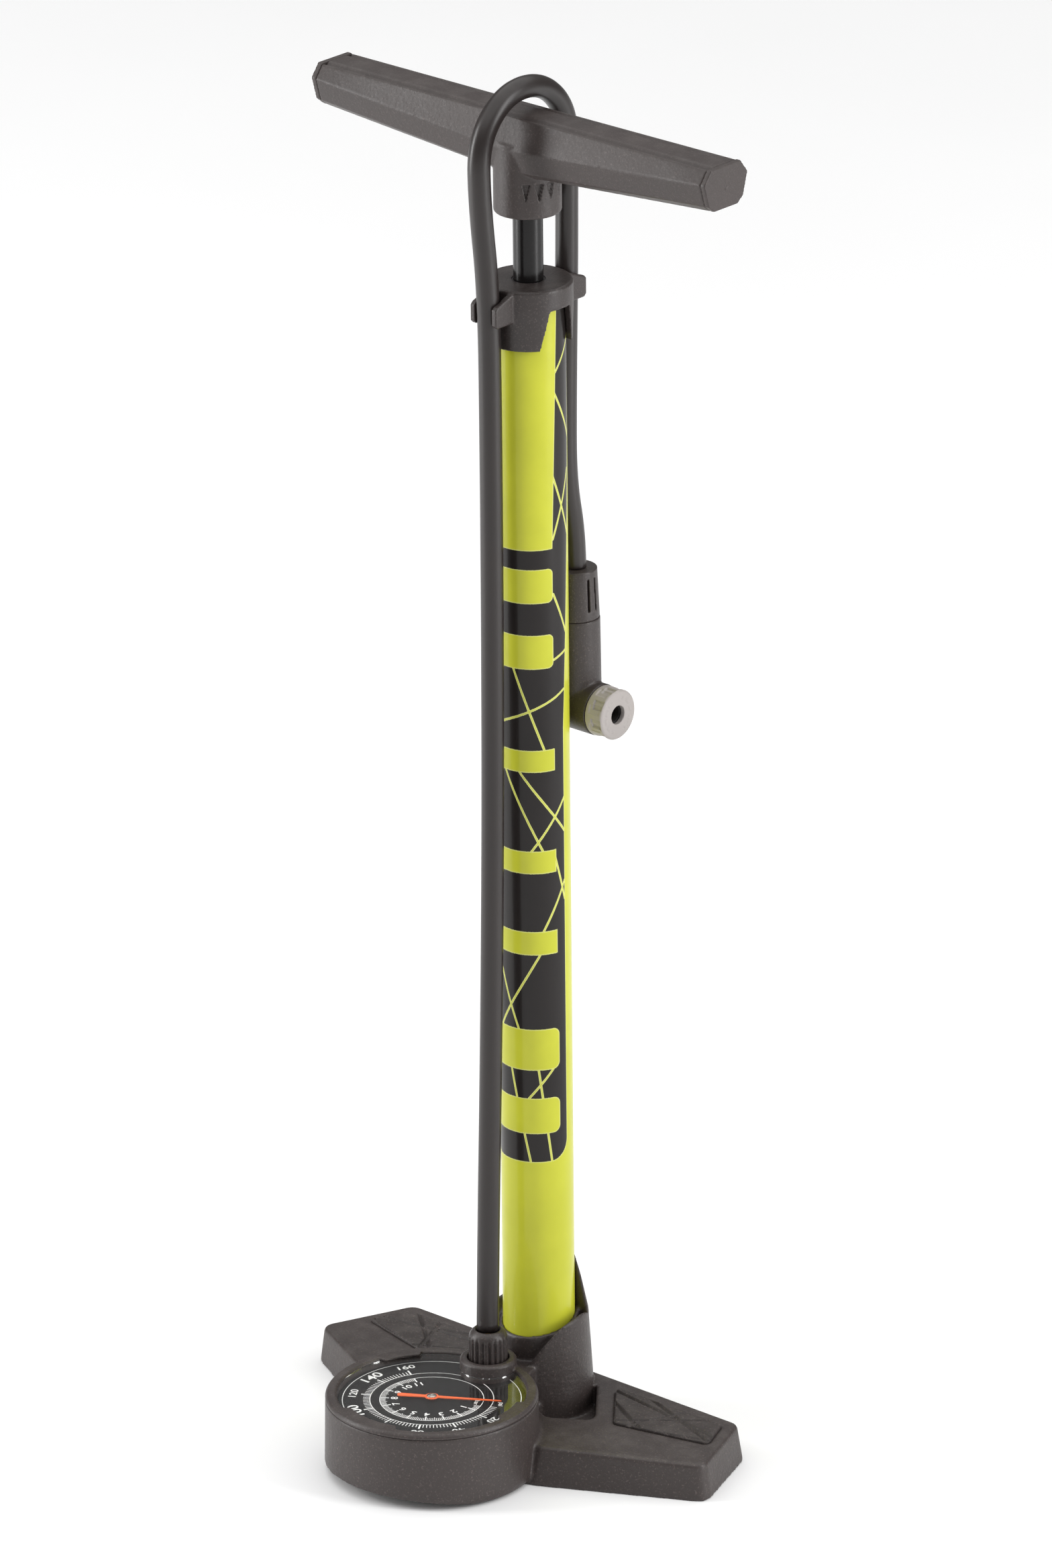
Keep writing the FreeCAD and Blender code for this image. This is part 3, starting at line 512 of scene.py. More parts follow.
@dataclass(frozen=True)
class BarrelPaint:
    """Lacquered lime tube with a dark panel that holds plain bars and thin crossing lines."""

    name: str = "barrel_lime_lacquer"
    lime: Colour = (0.55, 0.565, 0.040)
    outline: Colour = (0.70, 0.72, 0.26)
    dark: Colour = (0.012, 0.0095, 0.009)
    specular: float = 0.2
    radius: float = 0.019
    line_half: float = 0.0006
    outline_width: float = 0.0003
    panel: Block = Block((-150.0, 7.0), (0.154, 0.66), 0.011, 0.057, 0.395)
    bars: tuple[Block, ...] = (
        Block((-150.0, -13.0), (0.495, 0.66), 0.0, 0.031, 0.495),
        Block((-150.0, -13.0), (0.466, 0.4845), 0.003),
        Block((-150.0, -13.0), (0.430, 0.4485), 0.003),
        Block((-150.0, -12.0), (0.373, 0.385)),
        Block((-150.0, -11.0), (0.3165, 0.329)),
        Block((-150.0, -10.0), (0.271, 0.284)),
        Block((-150.0, -8.0), (0.206, 0.229), 0.004),
        Block((-150.0, -8.0), (0.170, 0.190), 0.004),
    )
    strokes: tuple[Stroke, ...] = (
        Stroke((-80.0, 0.431), (-30.0, 0.385)),
        Stroke((-104.0, 0.399), (9.0, 0.416)),
        Stroke((-96.0, 0.373), (-34.0, 0.329)),
        Stroke((-70.0, 0.373), (7.0, 0.338)),
        Stroke((-52.0, 0.329), (7.0, 0.356)),
        Stroke((-14.0, 0.326), (7.0, 0.300)),
        Stroke((-34.0, 0.284), (7.0, 0.310)),
        Stroke((-40.0, 0.271), (-112.0, 0.229)),
        Stroke((-112.0, 0.262), (-76.0, 0.229)),
        Stroke((-90.0, 0.206), (-58.0, 0.154)),
        Stroke((-44.0, 0.206), (-22.0, 0.150)),
        Stroke((-60.0, 0.190), (-20.0, 0.206)),
        Stroke((-12.0, 0.470), (18.0, 0.446)),
        Stroke((-12.0, 0.434), (14.0, 0.437)),
        Stroke((-12.0, 0.500), (28.0, 0.535)),
        Stroke((-12.0, 0.535), (26.0, 0.500)),
        Stroke((-8.0, 0.580), (40.0, 0.548)),
        Stroke((-5.0, 0.590), (44.0, 0.610)),
    )

    def _block(self, tree: Tree, u: Socket, v: Socket, block: Block) -> Socket:
        """Distance from one block in the unrolled surface of the tube."""
        if block.lean:
            above = tree.math("MAXIMUM", tree.math("SUBTRACT", v, block.lean_from), 0.0)
            u = tree.math("SUBTRACT", u, tree.math("MULTIPLY", above, block.lean))
        low, high = (math.radians(angle) * self.radius for angle in block.angles)
        bottom, top = block.heights
        made = EFFECTS.use(tree, Effect.BLOCK, U=u, V=v, Corner=block.corner,
                           Middle_U=(low + high) / 2, Half_U=(high - low) / 2,
                           Middle_V=(bottom + top) / 2, Half_V=(top - bottom) / 2)
        return made["Distance"]

    def _stroke(self, tree: Tree, u: Socket, v: Socket, stroke: Stroke) -> Socket:
        """Distance from the edge of one line in the unrolled surface of the tube."""
        (start, low), (end, high) = stroke.start, stroke.end
        middle = EFFECTS.use(tree, Effect.STROKE, U=u, V=v, Start_U=math.radians(start) * self.radius,
                             Start_V=low, End_U=math.radians(end) * self.radius, End_V=high)["Distance"]
        return tree.math("SUBTRACT", middle, self.line_half)

    def build(self) -> bpy.types.Material:
        """Make the material."""
        material, tree, shader = new_material(self.name)
        parts = tree.node("ShaderNodeSeparateXYZ")
        tree.feed(parts.inputs[0], tree.place())
        angle = tree.math("ARCTAN2", parts.outputs["Y"], parts.outputs["X"])
        u, v = tree.math("MULTIPLY", angle, self.radius), parts.outputs["Z"]
        shapes = [self._block(tree, u, v, bar) for bar in self.bars]
        shapes += [self._stroke(tree, u, v, stroke) for stroke in self.strokes]
        shapes.append(tree.math("MULTIPLY", self._block(tree, u, v, self.panel), -1.0))
        nearest = shapes[0]
        for shape in shapes[1:]:
            nearest = tree.math("MINIMUM", nearest, shape)
        painted = tree.ramp(nearest, 0.00004, -0.00004)
        edge = tree.ramp(tree.math("ABSOLUTE", tree.math("ADD", nearest, self.outline_width * 0.6)),
                         self.outline_width, self.outline_width * 0.4)
        tone = EFFECTS.use(tree, Effect.CLOUD, Scale=35.0)["Tone"]
        lime = tree.blend(tone, darker(self.lime, 0.96), darker(self.lime, 1.04))
        colour = tree.blend(painted, tree.blend(tone, self.dark, darker(self.dark, 1.2)), lime)
        tree.feed(shader.inputs["Base Color"],
                  tree.blend(tree.math("MULTIPLY", edge, 0.8), colour, self.outline))
        lines = EFFECTS.use(tree, Effect.SCRATCH, Scale=2200.0)
        tree.feed(shader.inputs["Roughness"], tree.math("ADD", tree.math("MULTIPLY", lines["Mask"], 0.05),
                                                        tree.ramp(painted, 0.0, 1.0, 0.34, 0.30)))
        bump = tree.node("ShaderNodeBump")
        bump.inputs["Distance"].default_value = 0.000004
        raised = tree.math("MULTIPLY", painted, 1.5)
        tree.feed(bump.inputs["Height"], tree.math("ADD", lines["Height"], raised))
        tree.feed(shader.inputs["Normal"], bump.outputs["Normal"])
        shader.inputs["Specular IOR Level"].default_value = self.specular
        shader.inputs["Coat Weight"].default_value = 0.2
        shader.inputs["Coat Roughness"].default_value = 0.05
        return material


@dataclass(frozen=True)
class Finishes:
    """Every material of the pump, made once."""

    base: bpy.types.Material
    collar: bpy.types.Material
    handle: bpy.types.Material
    bearing: bpy.types.Material
    cap: bpy.types.Material
    dial: bpy.types.Material
    printing: bpy.types.Material
    needle: bpy.types.Material
    lens: bpy.types.Material
    pad: bpy.types.Material
    hose: bpy.types.Material
    seal: bpy.types.Material
    barrel: bpy.types.Material
    rod: bpy.types.Material
    steel: bpy.types.Material
    brass: bpy.types.Material

    @classmethod
    def make(cls) -> "Finishes":
        """Build every material."""
        warm = (0.040, 0.031, 0.029)
        return cls(
            base=MouldedFinish("base_grained_plastic", warm).build(),
            collar=MouldedFinish("collar_grained_plastic", darker(warm, 0.85), roughness=0.42,
                                 grain_scale=1100.0, grain_depth=0.00010).build(),
            handle=MouldedFinish("handle_grained_plastic", darker(warm, 1.12), roughness=0.46,
                                 grain_scale=1000.0, grain_depth=0.00014, fleck=2.4,
                                 fleck_amount=0.6).build(),
            bearing=MouldedFinish("bearing_plastic", (0.55, 0.53, 0.48), roughness=0.42,
                                  grain_scale=1400.0, grain_depth=0.00002, fleck=1.1,
                                  fleck_amount=0.2, wear=0.0).build(),
            cap=MouldedFinish("cap_grey_plastic", (0.36, 0.33, 0.315), roughness=0.45,
                              grain_scale=2400.0, grain_depth=0.00003, fleck=1.12,
                              fleck_amount=0.3, wear=0.1).build(),
            dial=GlossFinish("dial_black_print", (0.006, 0.005, 0.005), 0.6, specular=0.15).build(),
            printing=GlossFinish("dial_white_print", (0.80, 0.80, 0.78), 0.4).build(),
            needle=GlossFinish("needle_orange_paint", (0.85, 0.13, 0.022), 0.35).build(),
            lens=ClearFinish("lens_clear_plastic").build(),
            pad=MouldedFinish("pad_grained_rubber", darker(warm, 0.8), roughness=0.6,
                              grain_scale=700.0, grain_depth=0.00022, fleck=3.4, fleck_amount=0.8,
                              wear=0.1).build(),
            hose=MouldedFinish("hose_smooth_rubber", darker(warm, 0.55), roughness=0.34,
                               grain_scale=2600.0, grain_depth=0.000012, fleck=1.3,
                               fleck_amount=0.3, wear=0.0, dust=0.03).build(),
            seal=MouldedFinish("seal_rubber", (0.02, 0.018, 0.018), roughness=0.5,
                               grain_scale=2600.0, grain_depth=0.00001, fleck=1.3,
                               fleck_amount=0.3, wear=0.0).build(),
            barrel=BarrelPaint().build(),
            rod=GlossFinish("rod_black_lacquer", (0.008, 0.007, 0.007), 0.16, specular=0.35).build(),
            steel=GlossFinish("bright_steel", (0.62, 0.60, 0.57), 0.18, 0.0, 1.0).build(),
            brass=GlossFinish("turned_brass", (0.70, 0.48, 0.20), 0.22, 0.0, 1.0).build(),
        )


# ---- meshes ----------------------------------------------------------------------------------


def new_object(name: str, vertices: Sequence[Vector], faces: Sequence[Sequence[int]],
               smooth: bool = True) -> bpy.types.Object:
    """Make a mesh object in the scene.

    Args:
        name: the object's name.
        vertices: places of its corners.
        faces: corner numbers of each face.
        smooth: whether its faces are shaded smooth.

    Returns:
        The new object.
    """
    mesh = bpy.data.meshes.new(name)
    mesh.from_pydata([tuple(v) for v in vertices], [], [tuple(f) for f in faces])
    mesh.polygons.foreach_set("use_smooth", [smooth] * len(mesh.polygons))
    mesh.update()
    made = bpy.data.objects.new(name, mesh)
    bpy.context.scene.collection.objects.link(made)
    return made


def rounded_profile(points: Sequence[tuple[float, float, float]], steps: int = 5) -> list[Point2]:
    """Round the corners of a closed outline.

    Args:
        points: corners as (radius from the axis, height, corner radius).
        steps: number of points on each rounded corner.

    Returns:
        The rounded outline as (radius, height) points.
    """
    outline: list[Point2] = []
    for i, (r, z, corner) in enumerate(points):
        here = Vector((r, z))
        if corner <= 0:
            outline.append((r, z))
            continue
        back = (Vector(points[i - 1][:2]) - here).normalized()
        ahead = (Vector(points[(i + 1) % len(points)][:2]) - here).normalized()
        cut = corner / math.tan(back.angle(ahead) / 2)
        start, end = here + back * cut, here + ahead * cut
        for step in range(steps + 1):
            t = step / steps
            spot = start * (1 - t) ** 2 + here * 2 * t * (1 - t) + end * t ** 2
            outline.append((spot.x, spot.y))
    return outline


def turned_piece(name: str, outline: Sequence[Point2], segments: int = 96, middle: Point2 = (0.0, 0.0),
                 wave: Optional[Callable[[float, float, float], float]] = None,
                 closed: bool = True) -> bpy.types.Object:
    """Turn an outline about an upright axis.

    Args:
        name: the object's name.
        outline: (radius, height) points.
        segments: steps round the axis.
        middle: the axis, as (x, y).
        wave: gives the radius to use from the angle, radius and height.
        closed: whether the outline's last point joins its first.

    Returns:
        The turned object.
    """
    vertices, faces, count = [], [], len(outline)
    for step in range(segments):
        angle = 2 * math.pi * step / segments
        for r, z in outline:
            reach = wave(angle, r, z) if wave else r
            vertices.append(Vector((middle[0] + reach * math.cos(angle),
                                    middle[1] + reach * math.sin(angle), z)))
    for step in range(segments):
        here, there = step * count, (step + 1) % segments * count
        for i in range(count if closed else count - 1):
            j = (i + 1) % count
            faces.append((here + i, there + i, there + j, here + j))
    return new_object(name, vertices, faces)


def softened_piece(node: str, name: str, voxel: float, rounds: int = 6,
                   shaper: Optional[Shaper] = None) -> bpy.types.Object:
    """Give a CAD node's shape the soft moulded edges of the real piece.

    Args:
        node: the CAD node to start from.
        name: the new object's name.
        voxel: size of the new mesh's cells.
        rounds: number of smoothing rounds.
        shaper: moves each point for finer relief.

    Returns:
        The softened object.
    """
    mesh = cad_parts[node].data.copy()
    welded = bmesh.new()
    welded.from_mesh(mesh)
    bmesh.ops.remove_doubles(welded, verts=welded.verts, dist=0.000002)
    welded.to_mesh(mesh)
    welded.free()
    made = bpy.data.objects.new(name, mesh)
    bpy.context.scene.collection.objects.link(made)
    cells = made.modifiers.new("cells", "REMESH")
    cells.mode, cells.voxel_size, cells.use_smooth_shade = "VOXEL", voxel, True
    rounding = made.modifiers.new("rounding", "SMOOTH")
    rounding.factor, rounding.iterations = 0.5, rounds
    graph = bpy.context.evaluated_depsgraph_get()
    final = bpy.data.meshes.new_from_object(made.evaluated_get(graph))
    made.modifiers.clear()
    made.data = final
    final.name = name
    if shaper:
        for vertex in final.vertices:
            vertex.co = shaper(vertex.co)
    final.polygons.foreach_set("use_smooth", [True] * len(final.polygons))
    final.update()
    return made


def flat_text(text: str, height: float, width: float = 1.0) -> tuple[list[Vector], list[tuple[int, ...]]]:
    """Outline of a short text, centred on the origin and filled.

    Args:
        text: what it says.
        height: height of its capitals.
        width: stretch along its line.

    Returns:
        Its corners, and the corner numbers of each face.
    """
    curve = bpy.data.curves.new("lettering", "FONT")
    curve.body, curve.size, curve.align_x, curve.align_y = text, height / 0.7, "CENTER", "CENTER"
    curve.offset = height * 0.025
    carrier = bpy.data.objects.new("lettering", curve)
    bpy.context.scene.collection.objects.link(carrier)
    graph = bpy.context.evaluated_depsgraph_get()
    graph.update()
    mesh = bpy.data.meshes.new_from_object(carrier.evaluated_get(graph))
    corners = [Vector((v.co.x * width, v.co.y, 0.0)) for v in mesh.vertices]
    faces = [tuple(p.vertices) for p in mesh.polygons]
    bpy.data.objects.remove(carrier)
    bpy.data.curves.remove(curve)
    return corners, faces


def dress(piece: bpy.types.Object, material: bpy.types.Material, slot: Slot, body: Body,
          *nodes: str) -> bpy.types.Object:
    """Give a piece its finish and its place in the frame.

    Args:
        piece: the piece.
        material: its material.
        slot: a material slot name; not used.
        body: the body it rides on.
        nodes: the CAD nodes it stands for.

    Returns:
        The same piece.
    """
    piece.data.materials.clear()
    piece.data.materials.append(material)
    if nodes:
        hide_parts(*nodes)
    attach(piece, body.value)
    LOG.info("piece %s rides on %s and has %d faces", piece.name, body.value, len(piece.data.polygons))
    return piece


def refinish(material: bpy.types.Material, *nodes: str) -> None:
    """Give CAD nodes whose shape is right a better material."""
    for node in nodes:
        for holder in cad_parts[node].material_slots:
            holder.material = material
        LOG.info("CAD node %s has the finish %s", node, material.name)


# ---- studio ----------------------------------------------------------------------------------


@dataclass
class Studio:
    """Pale floor, soft boxes and the camera."""

    turn: float = 42.25
    distance: float = 5.577
    height: float = 2.582
    dip: float = 21.73
    yaw: float = 0.04
    roll: float = -0.60
    lens: float = 266.3
    floor_size: float = 36.0

    def build(self) -> None:
        """Make the camera, the floor and the lights."""
        self._camera()
        self._floor()
        self._lights()
        scene = bpy.context.scene
        scene.view_settings.view_transform = "Standard"
        scene.view_settings.look = "None"

    def _camera(self) -> None:
        """Stand the camera at the gauge side, above the pump."""
        turn, dip, roll = (math.radians(value) for value in (self.turn, self.dip, self.roll))
        ahead = math.atan2(math.cos(turn), -math.sin(turn)) + math.radians(self.yaw)
        forward = Vector((math.cos(dip) * math.cos(ahead), math.cos(dip) * math.sin(ahead), -math.sin(dip)))
        level = Vector((math.sin(ahead), -math.cos(ahead), 0.0))
        upright = level.cross(forward)
        right = level * math.cos(roll) + upright * math.sin(roll)
        above = upright * math.cos(roll) - level * math.sin(roll)
        data = bpy.data.cameras.new("studio_camera")
        data.sensor_fit, data.sensor_height, data.lens = "VERTICAL", 36.0, self.lens
        data.clip_end = 40.0
        camera = bpy.data.objects.new("studio_camera", data)
        spot = Vector((math.sin(turn) * self.distance, -math.cos(turn) * self.distance, self.height))
        facing = Matrix((right, above, -forward)).transposed().to_4x4()
        camera.matrix_world = Matrix.Translation(spot) @ facing
        bpy.context.scene.collection.objects.link(camera)
        bpy.context.scene.camera = camera

    def _floor(self) -> None:
        """Lay the pale floor."""
        half = self.floor_size / 2
        corners = [Vector((x, y, -0.0002))
                   for x, y in ((-half, -half), (half, -half), (half, half), (-half, half))]
        floor = new_object("studio_floor", corners, [(0, 1, 2, 3)], smooth=False)
        material, tree, shader = new_material("studio_paper")
        tone = EFFECTS.use(tree, Effect.CLOUD, Scale=1.5)["Tone"]
        tree.feed(shader.inputs["Base Color"], tree.blend(tone, (0.95, 0.95, 0.95), (0.97, 0.97, 0.97)))
        shader.inputs["Roughness"].default_value = 0.9
        floor.data.materials.append(material)

    def _lights(self) -> None:
        """Hang the soft boxes and set the pale surround."""
        world = bpy.data.worlds.new("pale_surround")
        world.use_nodes = True
        sky = world.node_tree.nodes["Background"]
        sky.inputs["Color"].default_value = (1.0, 1.0, 1.0, 1.0)
        sky.inputs["Strength"].default_value = 0.17
        bpy.context.scene.world = world
        self._soft_box("top_box", (0.0, 0.0, 5.5), (0.0, 0.0, 0.0), 12.0, 12.0, 560.0)
        self._soft_box("left_box", (-2.2, -1.9, 1.0), (0.0, 0.0, 0.35), 0.7, 2.2, 60.0)
        self._soft_box("right_box", (2.6, 0.9, 1.1), (0.0, 0.0, 0.35), 0.8, 2.2, 50.0)

    @staticmethod
    def _soft_box(name: str, spot: tuple[float, float, float], target: tuple[float, float, float],
                  width: float, height: float, power: float) -> None:
        """Hang one rectangular light.

        Args:
            name: the light's name.
            spot: its place.
            target: the place it points at.
            width: its width.
            height: its height.
            power: its power in watts.
        """
        data = bpy.data.lights.new(name, "AREA")
        data.shape, data.size, data.size_y, data.energy = "RECTANGLE", width, height, power
        lamp = bpy.data.objects.new(name, data)
        aim = Vector(target) - Vector(spot)
        lamp.matrix_world = Matrix.Translation(spot) @ aim.to_track_quat("-Z", "Y").to_matrix().to_4x4()
        bpy.context.scene.collection.objects.link(lamp)


# ---- hose ------------------------------------------------------------------------------------


@dataclass
class Hose:
    """Air hose from the gauge's nut, over the handle, down to the pump head."""

    radius: float = 5.9 * MM
    sides: int = 28
    real_length: float = 0.983
    stretch_from: float = 0.640
    stretch_to: float = 0.700
    # Control points of the centre line as (y, z) in millimetres, all at x = 0.
    route: tuple[Point2, ...] = (
        (-40.0, 64.0), (-39.0, 110.0), (-35.6, 200.0), (-32.0, 320.0), (-30.2, 440.0), (-29.6, 560.0),
        (-30.0, 636.0), (-36.0, 685.0), (-36.5, 718.9), (-16.9, 738.9), (10.9, 738.9), (30.5, 718.9),
        (29.9, 685.0), (29.3, 636.0), (27.2, 560.0), (27.0, 520.0), (33.5, 487.0), (33.5, 470.0))
    head_nodes: tuple[str, ...] = ("head_gasket", "valve_pin")

    def centre_line(self) -> list[Vector]:
        """Read the smooth line of the route.

        Returns:
            Points of the route's spline, from the nut to the head.
        """
        curve = bpy.data.curves.new("hose_route", "CURVE")
        curve.dimensions, curve.resolution_u = "3D", 24
        spline = curve.splines.new("NURBS")
        spline.points.add(len(self.route) - 1)
        for point, (y, z) in zip(spline.points, self.route):
            point.co = (0.0, y * MM, z * MM, 1.0)
        spline.order_u = 3
        spline.use_endpoint_u = True
        carrier = bpy.data.objects.new("hose_route", curve)
        bpy.context.scene.collection.objects.link(carrier)
        graph = bpy.context.evaluated_depsgraph_get()
        graph.update()
        mesh = bpy.data.meshes.new_from_object(carrier.evaluated_get(graph))
        line = [v.co.copy() for v in mesh.vertices]
        bpy.data.objects.remove(carrier)
        bpy.data.curves.remove(curve)
        return line

    def build(self, finishes: Finishes, pieces: Sequence[bpy.types.Object]) -> bpy.types.Object:
        """Args:
            finishes: the pump's materials.
            pieces: the pieces of the pump head at its far end; not used.

        Returns:
            The hose.
        """
        line = self.centre_line()
        vertices, faces = [], []
        across = Vector((1.0, 0.0, 0.0))
        for i, here in enumerate(line):
            along = (line[min(i + 1, len(line) - 1)] - line[max(i - 1, 0)]).normalized()
            outward = across.cross(along)
            for side in range(self.sides):
                angle = 2 * math.pi * side / self.sides
                vertices.append(here + (across * math.cos(angle) + outward * math.sin(angle)) * self.radius)
        for i in range(len(line) - 1):
            for side in range(self.sides):
                after = (side + 1) % self.sides
                row, above = i * self.sides, (i + 1) * self.sides
                faces.append((row + side, row + after, above + after, above + side))
        faces.append(tuple(reversed(range(self.sides))))
        faces.append(tuple(range((len(line) - 1) * self.sides, len(line) * self.sides)))
        hose = new_object("air_hose", vertices, faces)
        hose.data.materials.append(finishes.hose)
        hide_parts("hose_front_run", "hose_loop", "hose_rear_run")
        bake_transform(hose)
        LOG.info("piece %s has %d faces", hose.name, len(hose.data.polygons))
        return hose


# ---- pump head -------------------------------------------------------------------------------


@dataclass
class PumpHead:
    """Elbow head with its hose ferrule and the grey screw cap."""

    axis_y: float = 33.5 * MM
    valve_z: float = 395.0 * MM
    seam_z: float = 443.0 * MM
    fin_span: Point2 = (446.0 * MM, 467.0 * MM)
    cap_face: float = 29.4 * MM
    mark_radius: float = 9.3 * MM
    grips: int = 8
    grip_share: float = 0.5
    grip_span: Point2 = (22.0 * MM, 28.2 * MM)
    grip_depth: float = 0.9 * MM
    cap_radius: float = field(init=False, default=0.0)
    pieces: list[bpy.types.Object] = field(default_factory=list)

    def build(self, finishes: Finishes) -> list[bpy.types.Object]:
        """Make the head's pieces.

        Args:
            finishes: the pump's materials.

        Returns:
            The head's elbow, ferrule and cap.
        """
        lowest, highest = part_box("head_cap")
        self.cap_radius = (highest[2] - lowest[2]) / 2
        body = softened_piece("head_body", "head_elbow", 0.45 * MM, 8)
        ferrule = softened_piece("head_ferrule", "hose_ferrule", 0.35 * MM, 4, self._ferrule_relief)
        cap = softened_piece("head_cap", "valve_cap", 0.3 * MM, 5, self._cap_relief)
        dress(body, finishes.collar, Slot.COLLAR, Body.ROOT, "head_body")
        dress(ferrule, finishes.collar, Slot.COLLAR, Body.ROOT, "head_ferrule")
        dress(cap, finishes.cap, Slot.CAP, Body.HEAD_CAP, "head_cap")
        refinish(finishes.seal, "head_gasket")
        refinish(finishes.brass, "valve_pin")
        self.pieces = [body, ferrule, cap]
        return self.pieces

    def _ferrule_relief(self, spot: Vector) -> Vector:
        """Sink the rim under the ferrule's lip and round its mouth."""
        outward = Vector((spot.x, spot.y - self.axis_y, 0.0))
        low = max(0.0, 1.0 - abs(spot.z - self.seam_z) / (0.9 * MM))
        if outward.length > 9.0 * MM:
            spot = spot - outward.normalized() * (0.35 * MM * low)
        return spot

    def _cap_relief(self, spot: Vector) -> Vector:
        """Sink the finger grips round the cap and raise a ring of plain arc marks on its face."""
        y, z = spot.y - self.axis_y, spot.z - self.valve_z
        reach, angle = math.hypot(y, z), math.degrees(math.atan2(z, y))
        low, high = self.grip_span
        if low < spot.x < high and reach > self.cap_radius - 1.2 * MM:
            if (angle / 360.0 * self.grips) % 1.0 < self.grip_share:
                share = 1.0 - self.grip_depth / reach
                return Vector((spot.x, self.axis_y + y * share, self.valve_z + z * share))
            return spot
        if spot.x < self.cap_face - 0.35 * MM:
            return spot
        band = max(0.0, 1.0 - (abs(reach - self.mark_radius) / (0.9 * MM)) ** 2)
        mark = band if (angle % 30.0) < 19.0 and abs(abs(angle) - 90.0) > 20.0 else 0.0
        return Vector((spot.x - 0.25 * MM * (1.0 - min(1.0, 2.0 * mark)), spot.y, spot.z))


# ---- base ------------------------------------------------------------------------------------


@dataclass
class Base:
    """Standing plate with its column, gauge drum and rubber grips."""

    plate_top: float = 20.0 * MM
    pad_top: float = 21.6 * MM
    groove_half: float = 1.3 * MM
    groove_depth: float = 1.5 * MM
    # Grooves across the right-hand grip as (x, y) pairs in millimetres.
    grooves: tuple[tuple[Point2, Point2], ...] = (
        ((36.0, 15.0), (122.0, 4.0)), ((38.0, 9.0), (84.0, -14.0)), ((62.0, -16.0), (106.0, 21.0)),
        ((58.0, 20.0), (124.0, -3.0)), ((88.0, -12.0), (122.0, 1.0)))

    def build(self, finishes: Finishes) -> None:
        """Make the base's pieces.

        Args:
            finishes: the pump's materials.
        """
        plate = softened_piece("base_body", "base_plate", 0.85 * MM, 5)
        dress(plate, finishes.base, Slot.BASE, Body.ROOT, "base_body")
        for node, side in (("foot_pad_right", 1.0), ("foot_pad_left", -1.0)):
            grip = softened_piece(node, node.replace("foot_pad", "rubber_grip"), 0.5 * MM, 3,
                                  lambda spot, side=side: self._cut_grooves(spot, side))
            dress(grip, finishes.pad, Slot.PAD, Body.ROOT, node)

    def _cut_grooves(self, spot: Vector, side: float) -> Vector:
        """Sink the thin crossing grooves into a grip's top.

        Args:
            spot: a point of the grip.
            side: 1 for the right-hand grip, -1 for the left-hand one.

        Returns:
            The moved point.
        """
        if spot.z < self.pad_top - 0.5 * MM:
            return spot
        flat, depth = Vector((spot.x * side, spot.y)), 0.0
        for start, end in self.grooves:
            a, b = Vector(start) * MM, Vector(end) * MM
            along = b - a
            share = min(1.0, max(0.0, (flat - a).dot(along) / along.length_squared))
            off = (flat - a - along * share).length
            depth = max(depth, 1.0 - min(1.0, (off / self.groove_half) ** 2))
        return Vector((spot.x, spot.y, spot.z - self.groove_depth * depth))


# ---- gauge -----------------------------------------------------------------------------------


